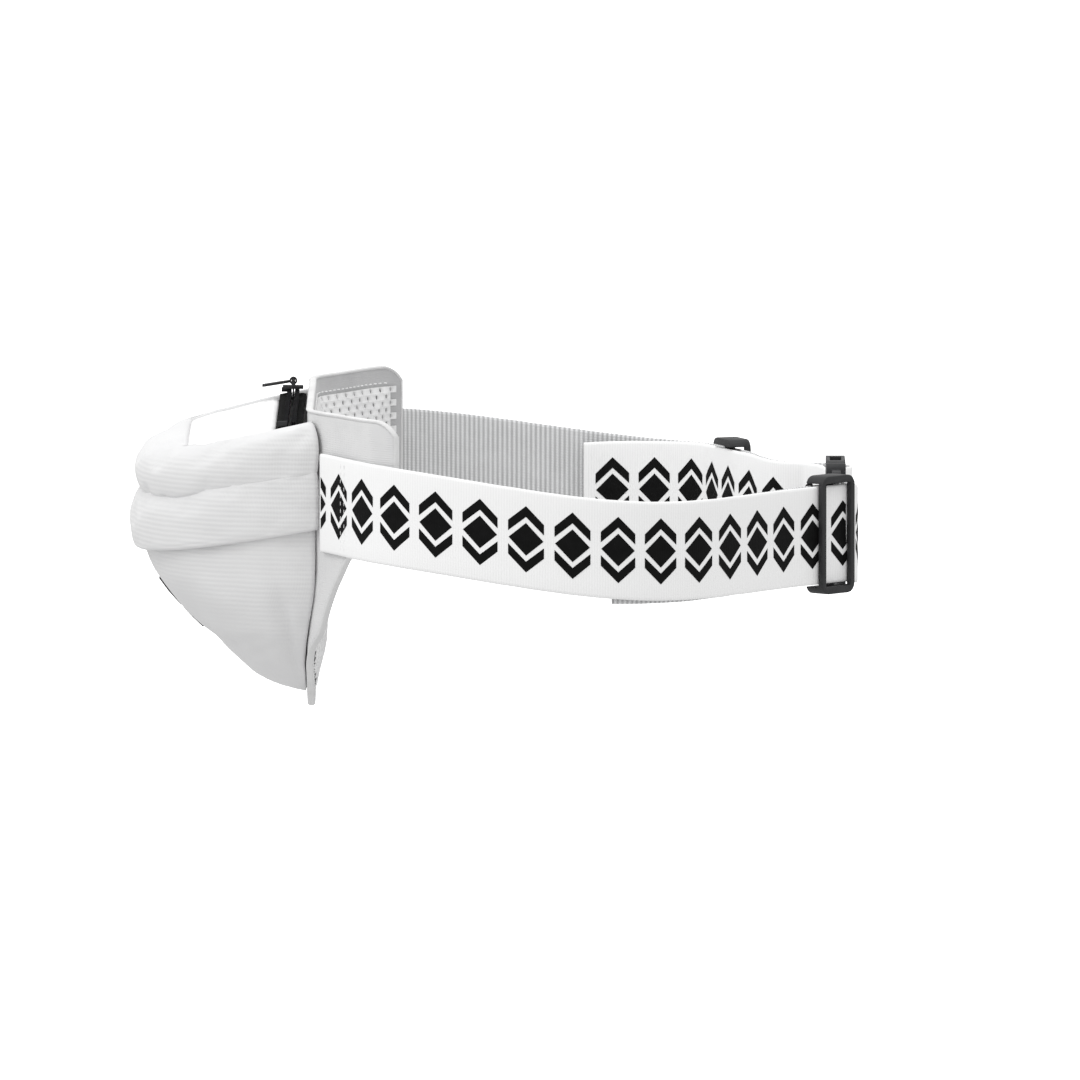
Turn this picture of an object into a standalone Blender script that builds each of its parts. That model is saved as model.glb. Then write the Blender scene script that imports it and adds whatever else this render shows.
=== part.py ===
"""Waist bag with a wedge-shaped pouch, a padded back panel and a webbing belt
closed by a side-release buckle. Run with: blender --background --python part.py

Metres, +Z up. The pouch faces -X and the wearer's back is on +X. The origin is
the centre of the waist loop, level with the belt at the wearer's back. Sizes
below are millimetres and are turned into metres where a mesh is made.
"""
import math

import bmesh
import bpy
from mathutils import Vector

MM = 0.001
GAP = 0.3

# Plan of the belt line, from the middle of the back panel round to the buckle:
# (x, y) stations on the half at -y. The other half is its mirror image.
PANEL_LINE = [(-112, 0), (-112, -20), (-112, -40), (-112, -60), (-112, -72),
              (-110.6, -82), (-106.2, -91), (-101, -100)]
WAIST_LINE = [(-89, -122), (-76, -136), (-59, -145), (-41, -150.5), (-23, -153),
              (-4, -153), (14, -149.5), (31, -142)]
NEAR_END = [(47, -131), (60, -116), (72, -99.5), (84, -83), (95.5, -70), (107, -57)]
FAR_END = [(42.5, -134.5), (51, -126), (56.24, -117.9), (59.12, -110.5), (62, -103),
           (65.24, -94.6), (69.2, -84.3), (74, -73), (81.5, -63.5), (92, -58.5)]
BELT_RISE = 15.4
BELT_RISE_FROM = 45.0
BELT_RISE_TO = -110.0
# the back of the belt and its buckle hang a little lower
BUCKLE_Z = -2.0
NEAR_SAG = (56.0, 41.0)
FAR_SAG = (88.0, 58.0)

WEBBING_HEIGHT = 40.0
WEBBING_THICK = 1.4
LAYER_OFFSET = 0.85
FOLD_RADIUS = 3.5
BAR_STEP = 2.35
BAR_PASS = 15.0
BAR_PASS_EASE = 12.0

# Back panel and wings: |y| against the height of the lower and upper edge.
PANEL_LOW = [(0, -76), (12, -75.5), (25, -73), (38, -69), (50, -64), (60, -59.5),
             (72, -53), (80, -47), (88, -41), (91, -37), (93, -31), (99, -20),
             (110, -6.5), (118, -3), (128, -1), (134, 1), (139.5, 6)]
PANEL_TOP = [(0, 52), (130, 52), (134, 50.8), (137, 48), (139.5, 44)]
PANEL_END = 139.5
# foam thickness against the distance from the panel's edge
PADDING = [(0, 0.5), (7, 0.7), (12, 1.5), (17, 2.7), (22, 4.1), (28, 5.0)]
PADDING_STEPS = (0, 7, 12, 17, 22, 28)
# offsets of each layer's two faces: millimetres, and share of the foam
SHELL_LAYER = ((0.4, 0), (1.2, 0))
FOAM_LAYER = ((1.5, 0), (1.5, 1))
BORDER_LAYER = ((2.0, 1), (2.8, 1))
WINDOW_LAYER = ((1.7, 0.5), (5.0, 1))
MESH_LAYER = ((2.1, 1), (3.4, 1))
BINDING_LAYER = (0.3, 3.4)
BINDING_WIDTH = 1.6

# Pouch: height against the front edge's x and against the half width.
POUCH_FRONT = [(-66, -118), (-64.5, -124), (-62, -129.5), (-58, -135.3),
               (-53, -141.5), (-46, -149), (-40, -156), (-31, -164.5),
               (-25.5, -169.3), (-18.5, -174), (-9, -178), (20, -178)]
POUCH_WIDTH = [(-66, 34), (-64.5, 42), (-62, 50), (-58, 60), (-53, 68), (-46, 76),
               (-40, 80.5), (-31, 84.6), (-25.5, 86.4), (-18.5, 87.8), (-9, 88.3),
               (20, 88.3)]
POUCH_WALL = 3.0
PLAN_POWER_Y = 0.72
PLAN_POWER_X = 0.92
FRONT_STEPS = 36
POUCH_LOWER_TOP = 12.0
BAND_TOP_FRONT = 13.4
BAND_TOP_REAR = 27.0
BAND_LOW_FRONT = -8.3
BAND_LOW_REAR = 5.2
BAND_REAR_X = -106.0
BAND_FRONT_X = -181.0
TOP_REAR_X = -112.0
TOP_REAR_Z = 45.5
TOP_FALL = 15.0 / 69.0

# Lid: the part of the top that folds forward when the zip is open.
LID_FRONT_X = -160.0
LID_REAR_X = -124.3
LID_HALF = 80.0
LID_HINGE_X = -158.2
LID_EDGE_GAP = 0.9
LID_RIM = 7.0

# Zip along the top, next to the back panel.
TAPE_Z = (44.0, 45.0)
TAPE_FRONT_X = (-124.0, -119.2)
TAPE_REAR_X = (-117.8, -113.2)
COIL_Z = (45.3, 46.7)
COIL_WIDTH = 1.8
COIL_PITCH = 1.6
SLIDER_Y = 74.6
SLIDER_HALF = 3.5
BAIL_Z = 50.3
BAIL_X = -118.5

# Side-release buckle at the wearer's back, its length along y.
BUCKLE_X = 103.5
BUCKLE_HALF_THICK = 3.9
BUCKLE_HALF_HEIGHT = 26.5
CAVITY_HALF_THICK = 2.3
CAVITY_HALF_HEIGHT = 24.2
FRAME_HALF_THICK = 1.8
FRAME_HALF_HEIGHT = 24.0
BAR_HALF_HEIGHT = 21.0
FAR_BAR_Y = 33.25
NEAR_BAR_Y = -29.25
PRONG_PIVOT_Y = -10.8
PRONG_PIVOT_Z = 15.0

# Tri-glides: middle of each and the direction of the webbing through it.
NEAR_GLIDE = (100.6, -64.23)
NEAR_GLIDE_WAY = (0.6625, 0.7491)
FAR_GLIDE = (62.0, 103.0)
FAR_GLIDE_WAY = (0.36, -0.93295)
GLIDE_HALF_LENGTH = 10.0
GLIDE_HALF_HEIGHT = 24.0
GLIDE_BAR = 2.4

WHITE = (0.86, 0.86, 0.85)
GREY_MESH = (0.72, 0.73, 0.73)
WEB_GREY = (0.45, 0.46, 0.47)
CHARCOAL = (0.055, 0.056, 0.06)
BLACK = (0.012, 0.012, 0.013)


# ---------------------------------------------------------------- scene setup

def clear_scene():
    for obj in list(bpy.data.objects):
        bpy.data.objects.remove(obj, do_unlink=True)
    for coll in list(bpy.data.collections):
        bpy.data.collections.remove(coll)


def new_collection(name):
    coll = bpy.data.collections.new(name)
    bpy.context.scene.collection.children.link(coll)
    return coll


def paint(obj, slot, colour, rough, metallic=0.0):
    """Give an object its own Principled material."""
    mat = bpy.data.materials.new(obj.name + "_" + slot)
    mat.use_nodes = True
    shader = mat.node_tree.nodes["Principled BSDF"]
    shader.inputs["Base Color"].default_value = (*colour, 1.0)
    shader.inputs["Roughness"].default_value = rough
    shader.inputs["Metallic"].default_value = metallic
    obj.data.materials.append(mat)


def white_fabric(obj):
    paint(obj, "white_fabric", WHITE, 0.9)


def spacer_mesh(obj):
    paint(obj, "spacer_mesh", GREY_MESH, 0.95)


def webbing(obj):
    paint(obj, "webbing", WEB_GREY, 0.85)


def charcoal_plastic(obj):
    paint(obj, "charcoal_plastic", CHARCOAL, 0.45)


def black_zip(obj):
    paint(obj, "black_zip", BLACK, 0.6)


def foam(obj):
    paint(obj, "foam", (0.8, 0.8, 0.78), 1.0)


# -------------------------------------------------------------- mesh building

def mesh_object(name, points, faces, coll, origin=(0, 0, 0)):
    """Make an object from points in millimetres, with its origin at `origin`."""
    base = Vector(origin)
    mesh = bpy.data.meshes.new(name)
    mesh.from_pydata([(Vector(p) - base) * MM for p in points], [], faces)
    bm = bmesh.new()
    bm.from_mesh(mesh)
    bmesh.ops.recalc_face_normals(bm, faces=bm.faces)
    bm.to_mesh(mesh)
    bm.free()
    obj = bpy.data.objects.new(name, mesh)
    obj.location = base * MM
    coll.objects.link(obj)
    return obj


def loft(name, rings, coll, closed=False, origin=(0, 0, 0)):
    """Join equal rings of points into one closed body."""
    count = len(rings[0])
    points = [p for ring in rings for p in ring]
    faces = []
    total = len(rings)
    for r in range(total if closed else total - 1):
        near = r * count
        far = ((r + 1) % total) * count
        for k in range(count):
            nxt = (k + 1) % count
            faces.append((near + k, near + nxt, far + nxt, far + k))
    if not closed:
        faces.append(tuple(range(count)))
        faces.append(tuple(range((total - 1) * count, total * count)))
    return mesh_object(name, points, faces, coll, origin)


def box(name, xs, ys, zs, coll, origin=(0, 0, 0)):
    """Box between two x, two y and two z values."""
    rings = []
    for y in ys:
        rings.append([(xs[0], y, zs[0]), (xs[1], y, zs[0]),
                      (xs[1], y, zs[1]), (xs[0], y, zs[1])])
    return loft(name, rings, coll, origin=origin)


def prism(name, outline, xs, coll, origin=(0, 0, 0)):
    """Push a (y, z) outline along x."""
    rings = [[(x, y, z) for y, z in outline] for x in xs]
    return loft(name, rings, coll, origin=origin)


def rod(name, start, end, radius, coll, sides=16, origin=(0, 0, 0)):
    """Round bar along y between two points of equal x and z."""
    rings = []
    for point in (start, end):
        ring = []
        for k in range(sides):
            a = 2 * math.pi * k / sides
            ring.append((point[0] + radius * math.cos(a), point[1],
                         point[2] + radius * math.sin(a)))
        rings.append(ring)
    return loft(name, rings, coll, origin=origin)


def rounded(half_y, half_z, radius, steps=4):
    """Outline of a rectangle with round corners, as (y, z) points."""
    points = []
    for sy, sz, turn in ((1, 1, 0), (-1, 1, 90), (-1, -1, 180), (1, -1, 270)):
        for k in range(steps + 1):
            a = math.radians(turn + 90 * k / steps)
            points.append((sy * (half_y - radius) + radius * math.cos(a),
                           sz * (half_z - radius) + radius * math.sin(a)))
    return points


def combine(obj, tool, operation, cutters):
    """Boolean `tool` into `obj` and keep the tool among the hidden cutters."""
    for coll in list(tool.users_collection):
        coll.objects.unlink(tool)
    cutters.objects.link(tool)
    tool.hide_render = True
    tool.display_type = "WIRE"
    mod = obj.modifiers.new(operation.lower() + "_" + tool.name, "BOOLEAN")
    mod.operation = operation
    mod.solver = "EXACT"
    mod.object = tool


def lookup(table, value):
    """Read a table of (value, result) pairs, with straight lines between."""
    if value <= table[0][0]:
        return table[0][1]
    for (a, fa), (b, fb) in zip(table, table[1:]):
        if value <= b:
            return fa + (fb - fa) * (value - a) / (b - a)
    return table[-1][1]


# ------------------------------------------------------------------ plan line

def smooth_line(stations, step=5.0):
    """Catmull-Rom curve through plan stations, cut about every `step`."""
    pts = [Vector(p) for p in stations]
    ends = [pts[0] * 2 - pts[1]] + pts + [pts[-1] * 2 - pts[-2]]
    line = []
    for k in range(1, len(ends) - 2):
        a, b, c, d = ends[k - 1:k + 3]
        parts = max(1, round((c - b).length / step))
        for j in range(parts):
            t = j / parts
            line.append(0.5 * (2 * b + (c - a) * t
                               + (2 * a - 5 * b + 4 * c - d) * t * t
                               + (3 * b - a - 3 * c + d) * t ** 3))
    line.append(pts[-1])
    return line


def line_normals(line):
    """Unit normals to the left of a plan line."""
    out = []
    for k in range(len(line)):
        ahead = line[min(k + 1, len(line) - 1)]
        behind = line[max(k - 1, 0)]
        t = (ahead - behind).normalized()
        out.append(Vector((-t.y, t.x)))
    return out


def shift_line(line, offset):
    """Plan line moved to the right, which is away from the wearer."""
    return [p - n * offset for p, n in zip(line, line_normals(line))]


def belt_z(x):
    """Height of the belt's middle: level behind, rising to the pouch."""
    t = (BELT_RISE_FROM - x) / (BELT_RISE_FROM - BELT_RISE_TO)
    t = min(1.0, max(0.0, t))
    return BELT_RISE * (3 * t * t - 2 * t ** 3)


def belt_sag(y, span):
    """How far the belt has sunk at y, over the span next to the buckle."""
    t = min(1.0, max(0.0, (span[0] - abs(y)) / (span[0] - span[1])))
    return BUCKLE_Z * t * t * (3 - 2 * t)


def panel_line():
    """Whole plan line of the back panel, from the +y wing to the -y wing."""
    half = smooth_line(PANEL_LINE + WAIST_LINE[:3], 5.0)
    half = [p for p in half if -p.y <= PANEL_END]
    return [Vector((p.x, -p.y)) for p in reversed(half[1:])] + half


def panel_x(y):
    """x of the panel line where it crosses a given y behind the pouch."""
    line = smooth_line(PANEL_LINE, 2.0)
    return lookup([(-p.y, p.x) for p in line], abs(y))


# ----------------------------------------------------------------- back panel

def panel_offset(face, y, z):
    """How far behind the panel line one face of a layer lies at a place."""
    edge = min(z - lookup(PANEL_LOW, abs(y)), lookup(PANEL_TOP, abs(y)) - z,
               (PANEL_END - abs(y)) * 1.25)
    return face[0] + face[1] * lookup(PADDING, max(edge, 0.0))


def panel_levels(y, low_inset, top_inset):
    """Heights of the rows of one column of the panel, closer at its edges."""
    low = lookup(PANEL_LOW, abs(y))
    top = lookup(PANEL_TOP, abs(y))
    squeeze = min(1.0, (top - low) / 64.0)
    steps = [step * squeeze for step in PADDING_STEPS
             if step > max(low_inset, top_inset) + 0.5]
    return ([low + low_inset] + [low + step for step in steps]
            + [top - step for step in reversed(steps)] + [top - top_inset])


def panel_layer(name, layer, low_inset, top_inset, end_inset, coll):
    """One layer of the padded back panel and its two wings."""
    line = [p for p in panel_line() if abs(p.y) <= PANEL_END - end_inset]
    rings = []
    for p, n in zip(line, line_normals(line)):
        heights = panel_levels(p.y, low_inset, top_inset)
        ring = []
        for face, column in ((layer[0], heights), (layer[1], heights[::-1])):
            for z in column:
                q = p + n * panel_offset(face, p.y, z)
                ring.append((q.x, q.y, z))
        rings.append(ring)
    return loft(name, rings, coll)


def panel_binding(name, coll):
    """Binding tape round the whole edge of the panel."""
    line = panel_line()
    normals = line_normals(line)
    top = []
    low = []
    for p, n in zip(line, normals):
        top.append((p, n, lookup(PANEL_TOP, abs(p.y)), 1))
        low.append((p, n, lookup(PANEL_LOW, abs(p.y)), -1))
    rings = []
    for row in (top, low[::-1]):
        for k, (p, n, z, side) in enumerate(row):
            along = Vector((-n.y, n.x)) * -side
            lift = 1.0
            reach = 0.0
            if k == 0:
                reach = -1.0
            if k == len(row) - 1:
                reach = 1.0
            ring = []
            for depth, out in ((0, 0), (0, 1), (1, 1), (1, 0)):
                flat = p + n * BINDING_LAYER[depth]
                far = GAP + BINDING_WIDTH * out
                flat = flat + along * reach * far
                ring.append((flat.x, flat.y, z + side * lift * far))
            rings.append(ring)
    return loft(name, rings, coll, closed=True)


def build_panel(coll, cutters):
    shell = panel_layer("back_shell", SHELL_LAYER, 0, 0, 0, coll)
    white_fabric(shell)
    core = panel_layer("back_foam", FOAM_LAYER, 1.5, 1.5, 1.5, coll)
    foam(core)
    border = panel_layer("inner_border", BORDER_LAYER, 0, 0, 0, coll)
    window = panel_layer("window_cutter", WINDOW_LAYER, 6, 8, 5, coll)
    combine(border, window, "DIFFERENCE", cutters)
    white_fabric(border)
    pad = panel_layer("mesh_pad", MESH_LAYER, 6.4, 8.4, 9, coll)
    spacer_mesh(pad)
    binding = panel_binding("edge_binding", coll)
    white_fabric(binding)


# ---------------------------------------------------------------------- pouch

def plan_ring(front, width, height_of, rear_shift=0.0):
    """Closed plan outline of the pouch; height_of(x) gives each point's z."""
    rear = panel_x(width) - 0.3
    ring = []
    for k in range(FRONT_STEPS + 1):
        a = math.pi * (k / FRONT_STEPS - 0.5)
        y = width * math.copysign(abs(math.sin(a)) ** PLAN_POWER_Y, a)
        x = rear + (front - rear) * abs(math.cos(a)) ** PLAN_POWER_X
        ring.append((x, y, height_of(x)))
    for part in (0.97, 0.9, 0.8, 0.6, 0.3, 0, -0.3, -0.6, -0.8, -0.9, -0.97):
        x = panel_x(width * part) - 0.3 + rear_shift
        ring.append((x, width * part, height_of(x)))
    return ring


def pouch_rings(levels, inset, rear_shift=0.0):
    rings = []
    for z in levels:
        front = lookup(POUCH_FRONT, z) + inset
        width = lookup(POUCH_WIDTH, z) - inset
        rings.append(plan_ring(front, width, lambda x, z=z: z, rear_shift))
    return rings


def top_z(x):
    return TOP_REAR_Z - TOP_FALL * (TOP_REAR_X - x)


def along_band(x, front, rear):
    """Height on a line that falls from the side seams to the front."""
    return rear + (x - BAND_REAR_X) * (rear - front) / (BAND_REAR_X - BAND_FRONT_X)


def band_low(x):
    return along_band(x, BAND_LOW_FRONT, BAND_LOW_REAR)


def band_top(x):
    return along_band(x, BAND_TOP_FRONT, BAND_TOP_REAR)


def pouch_lower(coll, cutters):
    levels = [row[0] for row in POUCH_FRONT[:-1]] + [0, POUCH_LOWER_TOP]
    body = loft("pouch_lower", pouch_rings(levels, 0), coll)
    inner = [-62.5, -61, -58, -53, -46, -40, -31, -25.5, -18.5, -9, 0, 16]
    hollow = loft("pouch_lower_cutter", pouch_rings(inner, POUCH_WALL, 4.0), coll)
    combine(body, hollow, "DIFFERENCE", cutters)
    white_fabric(body)
    return body


def pouch_band(coll, cutters):
    rings = []
    for u, front, width in ((0, -181.6, 90.4), (0.12, -182.6, 91), (0.5, -183, 91),
                            (0.85, -182.4, 91), (1, -181.2, 90.2)):
        def height(x, u=u):
            return band_low(x) + u * (band_top(x) - band_low(x))
        rings.append(plan_ring(front, width, height))
    body = loft("pouch_band", rings, coll)
    inside = []
    for z in (-20, 10, 40):
        inside.append(plan_ring(-178.4, 88.7, lambda x, z=z: z, 4.0))
    hollow = loft("pouch_band_cutter", inside, coll)
    combine(body, hollow, "DIFFERENCE", cutters)
    white_fabric(body)


def top_rings(drop, inset, rear_shift=0.0, low=None):
    """Rings of the pouch's top, from the crease over the round edge."""
    rings = []
    rows = ((0, -179.8, 89.2), (0.25, -180.8, 90.4), (0.55, -180.8, 90.6),
            (0.78, -179.8, 90.0), (0.93, -177.2, 88.6), (1, -173.2, 86.6))
    for u, front, width in rows:
        def height(x, u=u):
            base = band_top(x) + GAP if low is None else low
            return base + u * (top_z(x) - drop - base)
        rings.append(plan_ring(front + inset, width - inset, height, rear_shift))
    return rings


def lid_half(x, spare):
    """Half width of the lid at a given x, `spare` inside the window's edge."""
    rear = panel_x(90.6) - 0.3
    c = min(1.0, max(0.0, (x - rear) / (-181.6 - rear))) ** (1 / PLAN_POWER_X)
    outline = 90.6 * math.sqrt(1 - c * c) ** PLAN_POWER_Y
    return min(LID_HALF + 0.4, outline - LID_RIM) - spare


def pouch_top(coll, cutters):
    body = loft("pouch_top", top_rings(0, 0), coll)
    inner = loft("pouch_top_cutter", top_rings(3.0, POUCH_WALL, 4.0, 5.0), coll)
    combine(body, inner, "DIFFERENCE", cutters)
    rings = []
    for x in (LID_FRONT_X - LID_EDGE_GAP, -154, -148, -142, -136, -130, -124, -100):
        half = lid_half(max(x, LID_FRONT_X), 0.0)
        rings.append([(x, -half, 0.0), (x, half, 0.0), (x, half, 60.0), (x, -half, 60.0)])
    window = loft("lid_window_cutter", rings, coll)
    combine(body, window, "DIFFERENCE", cutters)
    white_fabric(body)


def lid(coll):
    """Flap of the top between the fold line and the zip."""
    rings = []
    for x in (LID_FRONT_X, -154, -148, -142, -136, -130, LID_REAR_X):
        half = lid_half(x, 0.4)
        top = top_z(x)
        low = top - 3.0
        ring = [(x, half * share, top) for share in (-1, -0.5, 0, 0.5, 1)]
        ring += [(x, half * share, low) for share in (1, 0.5, 0, -0.5, -1)]
        rings.append(ring)
    flap = loft("lid", rings, coll, origin=lid_hinge())
    white_fabric(flap)
    return flap


def lid_hinge():
    return (LID_HINGE_X, 0.0, top_z(LID_HINGE_X) - 1.5)


def pouch_x(y, z):
    """x of the lower pouch's outside at a given y and height."""
    front = lookup(POUCH_FRONT, z)
    width = lookup(POUCH_WIDTH, z)
    rear = panel_x(width) - 0.3
    s = min(1.0, abs(y) / width) ** (1 / PLAN_POWER_Y)
    return rear + (front - rear) * math.sqrt(1 - s * s) ** PLAN_POWER_X


def badge(name, low, high, half, coll):
    """Thin moulded badge that follows the front of the pouch."""
    rings = []
    for k in range(9):
        y = -half + 2 * half * k / 8
        ring = []
        for lift, rows in ((0.4, (low, (low + high) / 2, high)),
                           (1.3, (high, (low + high) / 2, low))):
            for z in rows:
                ring.append((pouch_x(y, z) - lift * 0.8, y, z - lift * 0.6))
        rings.append(ring)
    body = loft(name, rings, coll)
    paint(body, "black_badge", BLACK, 0.5)


# ------------------------------------------------------------------------ zip

def coil(name, x_teeth, x_back, y0, y1, coll):
    """One row of a coil zip: a cord with a tooth every pitch."""
    rings = []
    count = round((y1 - y0) / COIL_PITCH)
    pitch = (y1 - y0) / count
    way = 1 if x_teeth > x_back else -1
    for k in range(count):
        base = y0 + pitch * k
        for part, full in ((0.05, 1.0), (0.45, 1.0), (0.55, 0.55), (0.95, 0.55)):
            tip = x_back + way * COIL_WIDTH * full
            z0 = COIL_Z[0]
            z1 = COIL_Z[0] + (COIL_Z[1] - COIL_Z[0]) * (0.7 + 0.3 * (full == 1.0))
            y = base + pitch * part
            rings.append([(x_back, y, z0), (tip, y, z0), (tip, y, z1), (x_back, y, z1)])
    return loft(name, rings, coll)


def build_zip(coll):
    span = (-LID_HALF + 0.2, LID_HALF - 0.2)
    tape = box("zip_tape_front", TAPE_FRONT_X, span, TAPE_Z, coll)
    black_zip(tape)
    tape = box("zip_tape_rear", TAPE_REAR_X, span, TAPE_Z, coll)
    black_zip(tape)
    front = coil("zip_coil_front", -119.2, -121.0, -78.2, 78.2, coll)
    black_zip(front)
    rear = coil("zip_coil_rear", -117.8, -116.0, -78.2, 78.2, coll)
    black_zip(rear)
    for name, y0, y1 in (("zip_stop_near", -79.8, -78.6), ("zip_stop_far", 78.6, 79.8)):
        stop = box(name, (-123.4, -119.4), (y0, y1), (45.3, 47.2), coll)
        charcoal_plastic(stop)


def zip_slider(coll, cutters):
    """Slider at the far end: plates over and under the coil, with a bail."""
    y0 = SLIDER_Y - SLIDER_HALF
    y1 = SLIDER_Y + SLIDER_HALF
    origin = (BAIL_X, SLIDER_Y, BAIL_Z)
    body = box("zip_slider", (-122.8, -114.4), (y0, y1), (47.1, 48.3), coll, origin)
    web = box("slider_web", (-118.8, -118.2), (y0 + 0.6, y1 - 0.6), (42.9, 47.6), coll)
    combine(body, web, "UNION", cutters)
    sole = box("slider_sole", (-122.6, -118.4), (y0 + 0.3, y1 - 0.3), (42.6, 43.6), coll)
    combine(body, sole, "UNION", cutters)
    for k, y in enumerate((SLIDER_Y - 2.3, SLIDER_Y + 2.3)):
        post = box("bail_post_%d" % k, (BAIL_X - 0.7, BAIL_X + 0.7), (y - 0.5, y + 0.5),
                   (48.0, BAIL_Z + 0.6), coll)
        combine(body, post, "UNION", cutters)
    bar = rod("bail_bar", (BAIL_X, SLIDER_Y - 2.2, BAIL_Z),
              (BAIL_X, SLIDER_Y + 2.2, BAIL_Z), 0.55, coll, 12)
    combine(body, bar, "UNION", cutters)
    charcoal_plastic(body)
    return body


def pull_tab(coll, cutters):
    """Small plate that hangs from the slider's bail towards the front."""
    origin = (BAIL_X, SLIDER_Y, BAIL_Z)
    eye = rod("pull_tab", (BAIL_X, SLIDER_Y - 1.4, BAIL_Z),
              (BAIL_X, SLIDER_Y + 1.4, BAIL_Z), 1.6, coll, 20, origin)
    rings = []
    for out, half in ((1.0, 1.4), (3.0, 1.6), (5.0, 2.2), (11.5, 2.2), (12.8, 1.4)):
        x = BAIL_X - out
        z = BAIL_Z - 0.16 * out
        rings.append([(x, SLIDER_Y - half, z - 0.5), (x, SLIDER_Y + half, z - 0.5),
                      (x, SLIDER_Y + half, z + 0.5), (x, SLIDER_Y - half, z + 0.5)])
    plate = loft("pull_plate", rings, coll)
    combine(eye, plate, "UNION", cutters)
    hole = rod("pull_hole", (BAIL_X, SLIDER_Y - 3, BAIL_Z),
               (BAIL_X, SLIDER_Y + 3, BAIL_Z), 0.9, coll, 20)
    combine(eye, hole, "DIFFERENCE", cutters)
    charcoal_plastic(eye)
    return eye


# ---------------------------------------------------------------------- belt

def arc_round_bar(bar_y, radius, turn, steps=8):
    """Half turn of webbing round a buckle bar, outside to inside."""
    out = []
    for k in range(steps + 1):
        a = turn * math.pi * k / steps
        out.append(Vector((BUCKLE_X + radius * math.cos(a),
                           bar_y + radius * math.sin(a))))
    return out


def strap(name, run, bend_out, arc, bend_in, tail, droop, sag, coll):
    """Webbing out along the belt, round the buckle bar and back as a tail."""
    outer = shift_line(run, LAYER_OFFSET) + bend_out + arc
    line = outer + bend_in + [p for p, share in tail]
    sinks = [0.0] * (len(outer) + len(bend_in)) + [share for p, share in tail]
    half = WEBBING_THICK / 2
    rings = []
    for p, n, share in zip(line, line_normals(line), sinks):
        mid = belt_z(p.x) + belt_sag(p.y, sag) - droop * share
        low = mid - WEBBING_HEIGHT / 2
        top = mid + WEBBING_HEIGHT / 2
        a = p + n * half
        b = p - n * half
        rings.append([(a.x, a.y, low), (b.x, b.y, low), (b.x, b.y, top), (a.x, a.y, top)])
    body = loft(name, rings, coll)
    webbing(body)
    return body


def tail_line(run, glide_at, free_x, end_x, spread):
    """Inner layer from the buckle to the tail's cut end, as (point, share).

    It stands further in where it passes the tri-glide's centre bar.

    The share grows from 0 at free_x, past the tri-glide, to 1 at the cut end,
    and says how far the tail hangs away from the layer outside it.
    """
    back = [p for p in reversed(run) if p.x >= end_x]
    out = []
    for p, n in zip(back, line_normals(back)):
        share = max(0.0, (free_x - p.x) / (free_x - end_x)) ** 2
        reach = ((p - Vector(glide_at)).length - BAR_PASS) / BAR_PASS_EASE
        reach = min(1.0, max(0.0, reach))
        step_in = BAR_STEP * (1 - reach * reach * (3 - 2 * reach))
        out.append((p - n * (LAYER_OFFSET + max(step_in, spread * share)), share))
    return out


def strap_start(line):
    """Leave out the stretch behind the pouch, where no strap shows."""
    return [p for p in line if p.x > 0 or -p.y >= 92.5]


def build_straps(coll):
    half = PANEL_LINE[-2:] + WAIST_LINE
    near = strap_start(smooth_line(half + NEAR_END))
    bend_out = [Vector(p) for p in ((110.6, -49.5), (111.3, -42), (109.6, -34.5))]
    arc = arc_round_bar(NEAR_BAR_Y, FOLD_RADIUS, 1)
    bend_in = [Vector(p) for p in ((100.2, -36), (102.2, -44), (104.4, -51.5))]
    tail = tail_line(near, NEAR_GLIDE, 88, 12, 2.5)
    strap("strap_near", near, bend_out, arc, bend_in, tail, 2.5, NEAR_SAG, coll)
    far = strap_start(smooth_line(half + FAR_END))
    bend_out = [Vector(p) for p in ((101.5, -54.8), (108, -49.8), (110.2, -44),
                                    (109.4, -38.5))]
    arc = arc_round_bar(-FAR_BAR_Y, FOLD_RADIUS, 1)
    bend_in = [Vector(p) for p in ((99.4, -38.5), (98.6, -44.5), (96.4, -50.8))]
    tail = tail_line(far, (FAR_GLIDE[0], -FAR_GLIDE[1]), 55, 1, 4.0)
    body = strap("strap_far", far, bend_out, arc, bend_in, tail, 5.0, FAR_SAG, coll)
    for vert in body.data.vertices:
        vert.co.y = -vert.co.y
    body.data.flip_normals()


def bartack(name, side, coll):
    """Row of stitching that holds the webbing to the wing."""
    line = strap_start(smooth_line(PANEL_LINE[-2:] + WAIST_LINE, 1.0))
    spot = min(range(len(line)), key=lambda k: abs(line[k].x + 96.7))
    rings = []
    outer = LAYER_OFFSET + WEBBING_THICK / 2 + GAP
    for k in (spot, spot + 1, spot + 2):
        p = line[k]
        n = line_normals(line)[k]
        a = p - n * outer
        b = p - n * (outer + 0.5)
        low = belt_z(p.x) - 18.0
        top = belt_z(p.x) + 18.0
        rings.append([(a.x, a.y * side, low), (b.x, b.y * side, low),
                      (b.x, b.y * side, top), (a.x, a.y * side, top)])
    body = loft(name, rings, coll)
    white_fabric(body)


# ------------------------------------------------------------------- hardware

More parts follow.
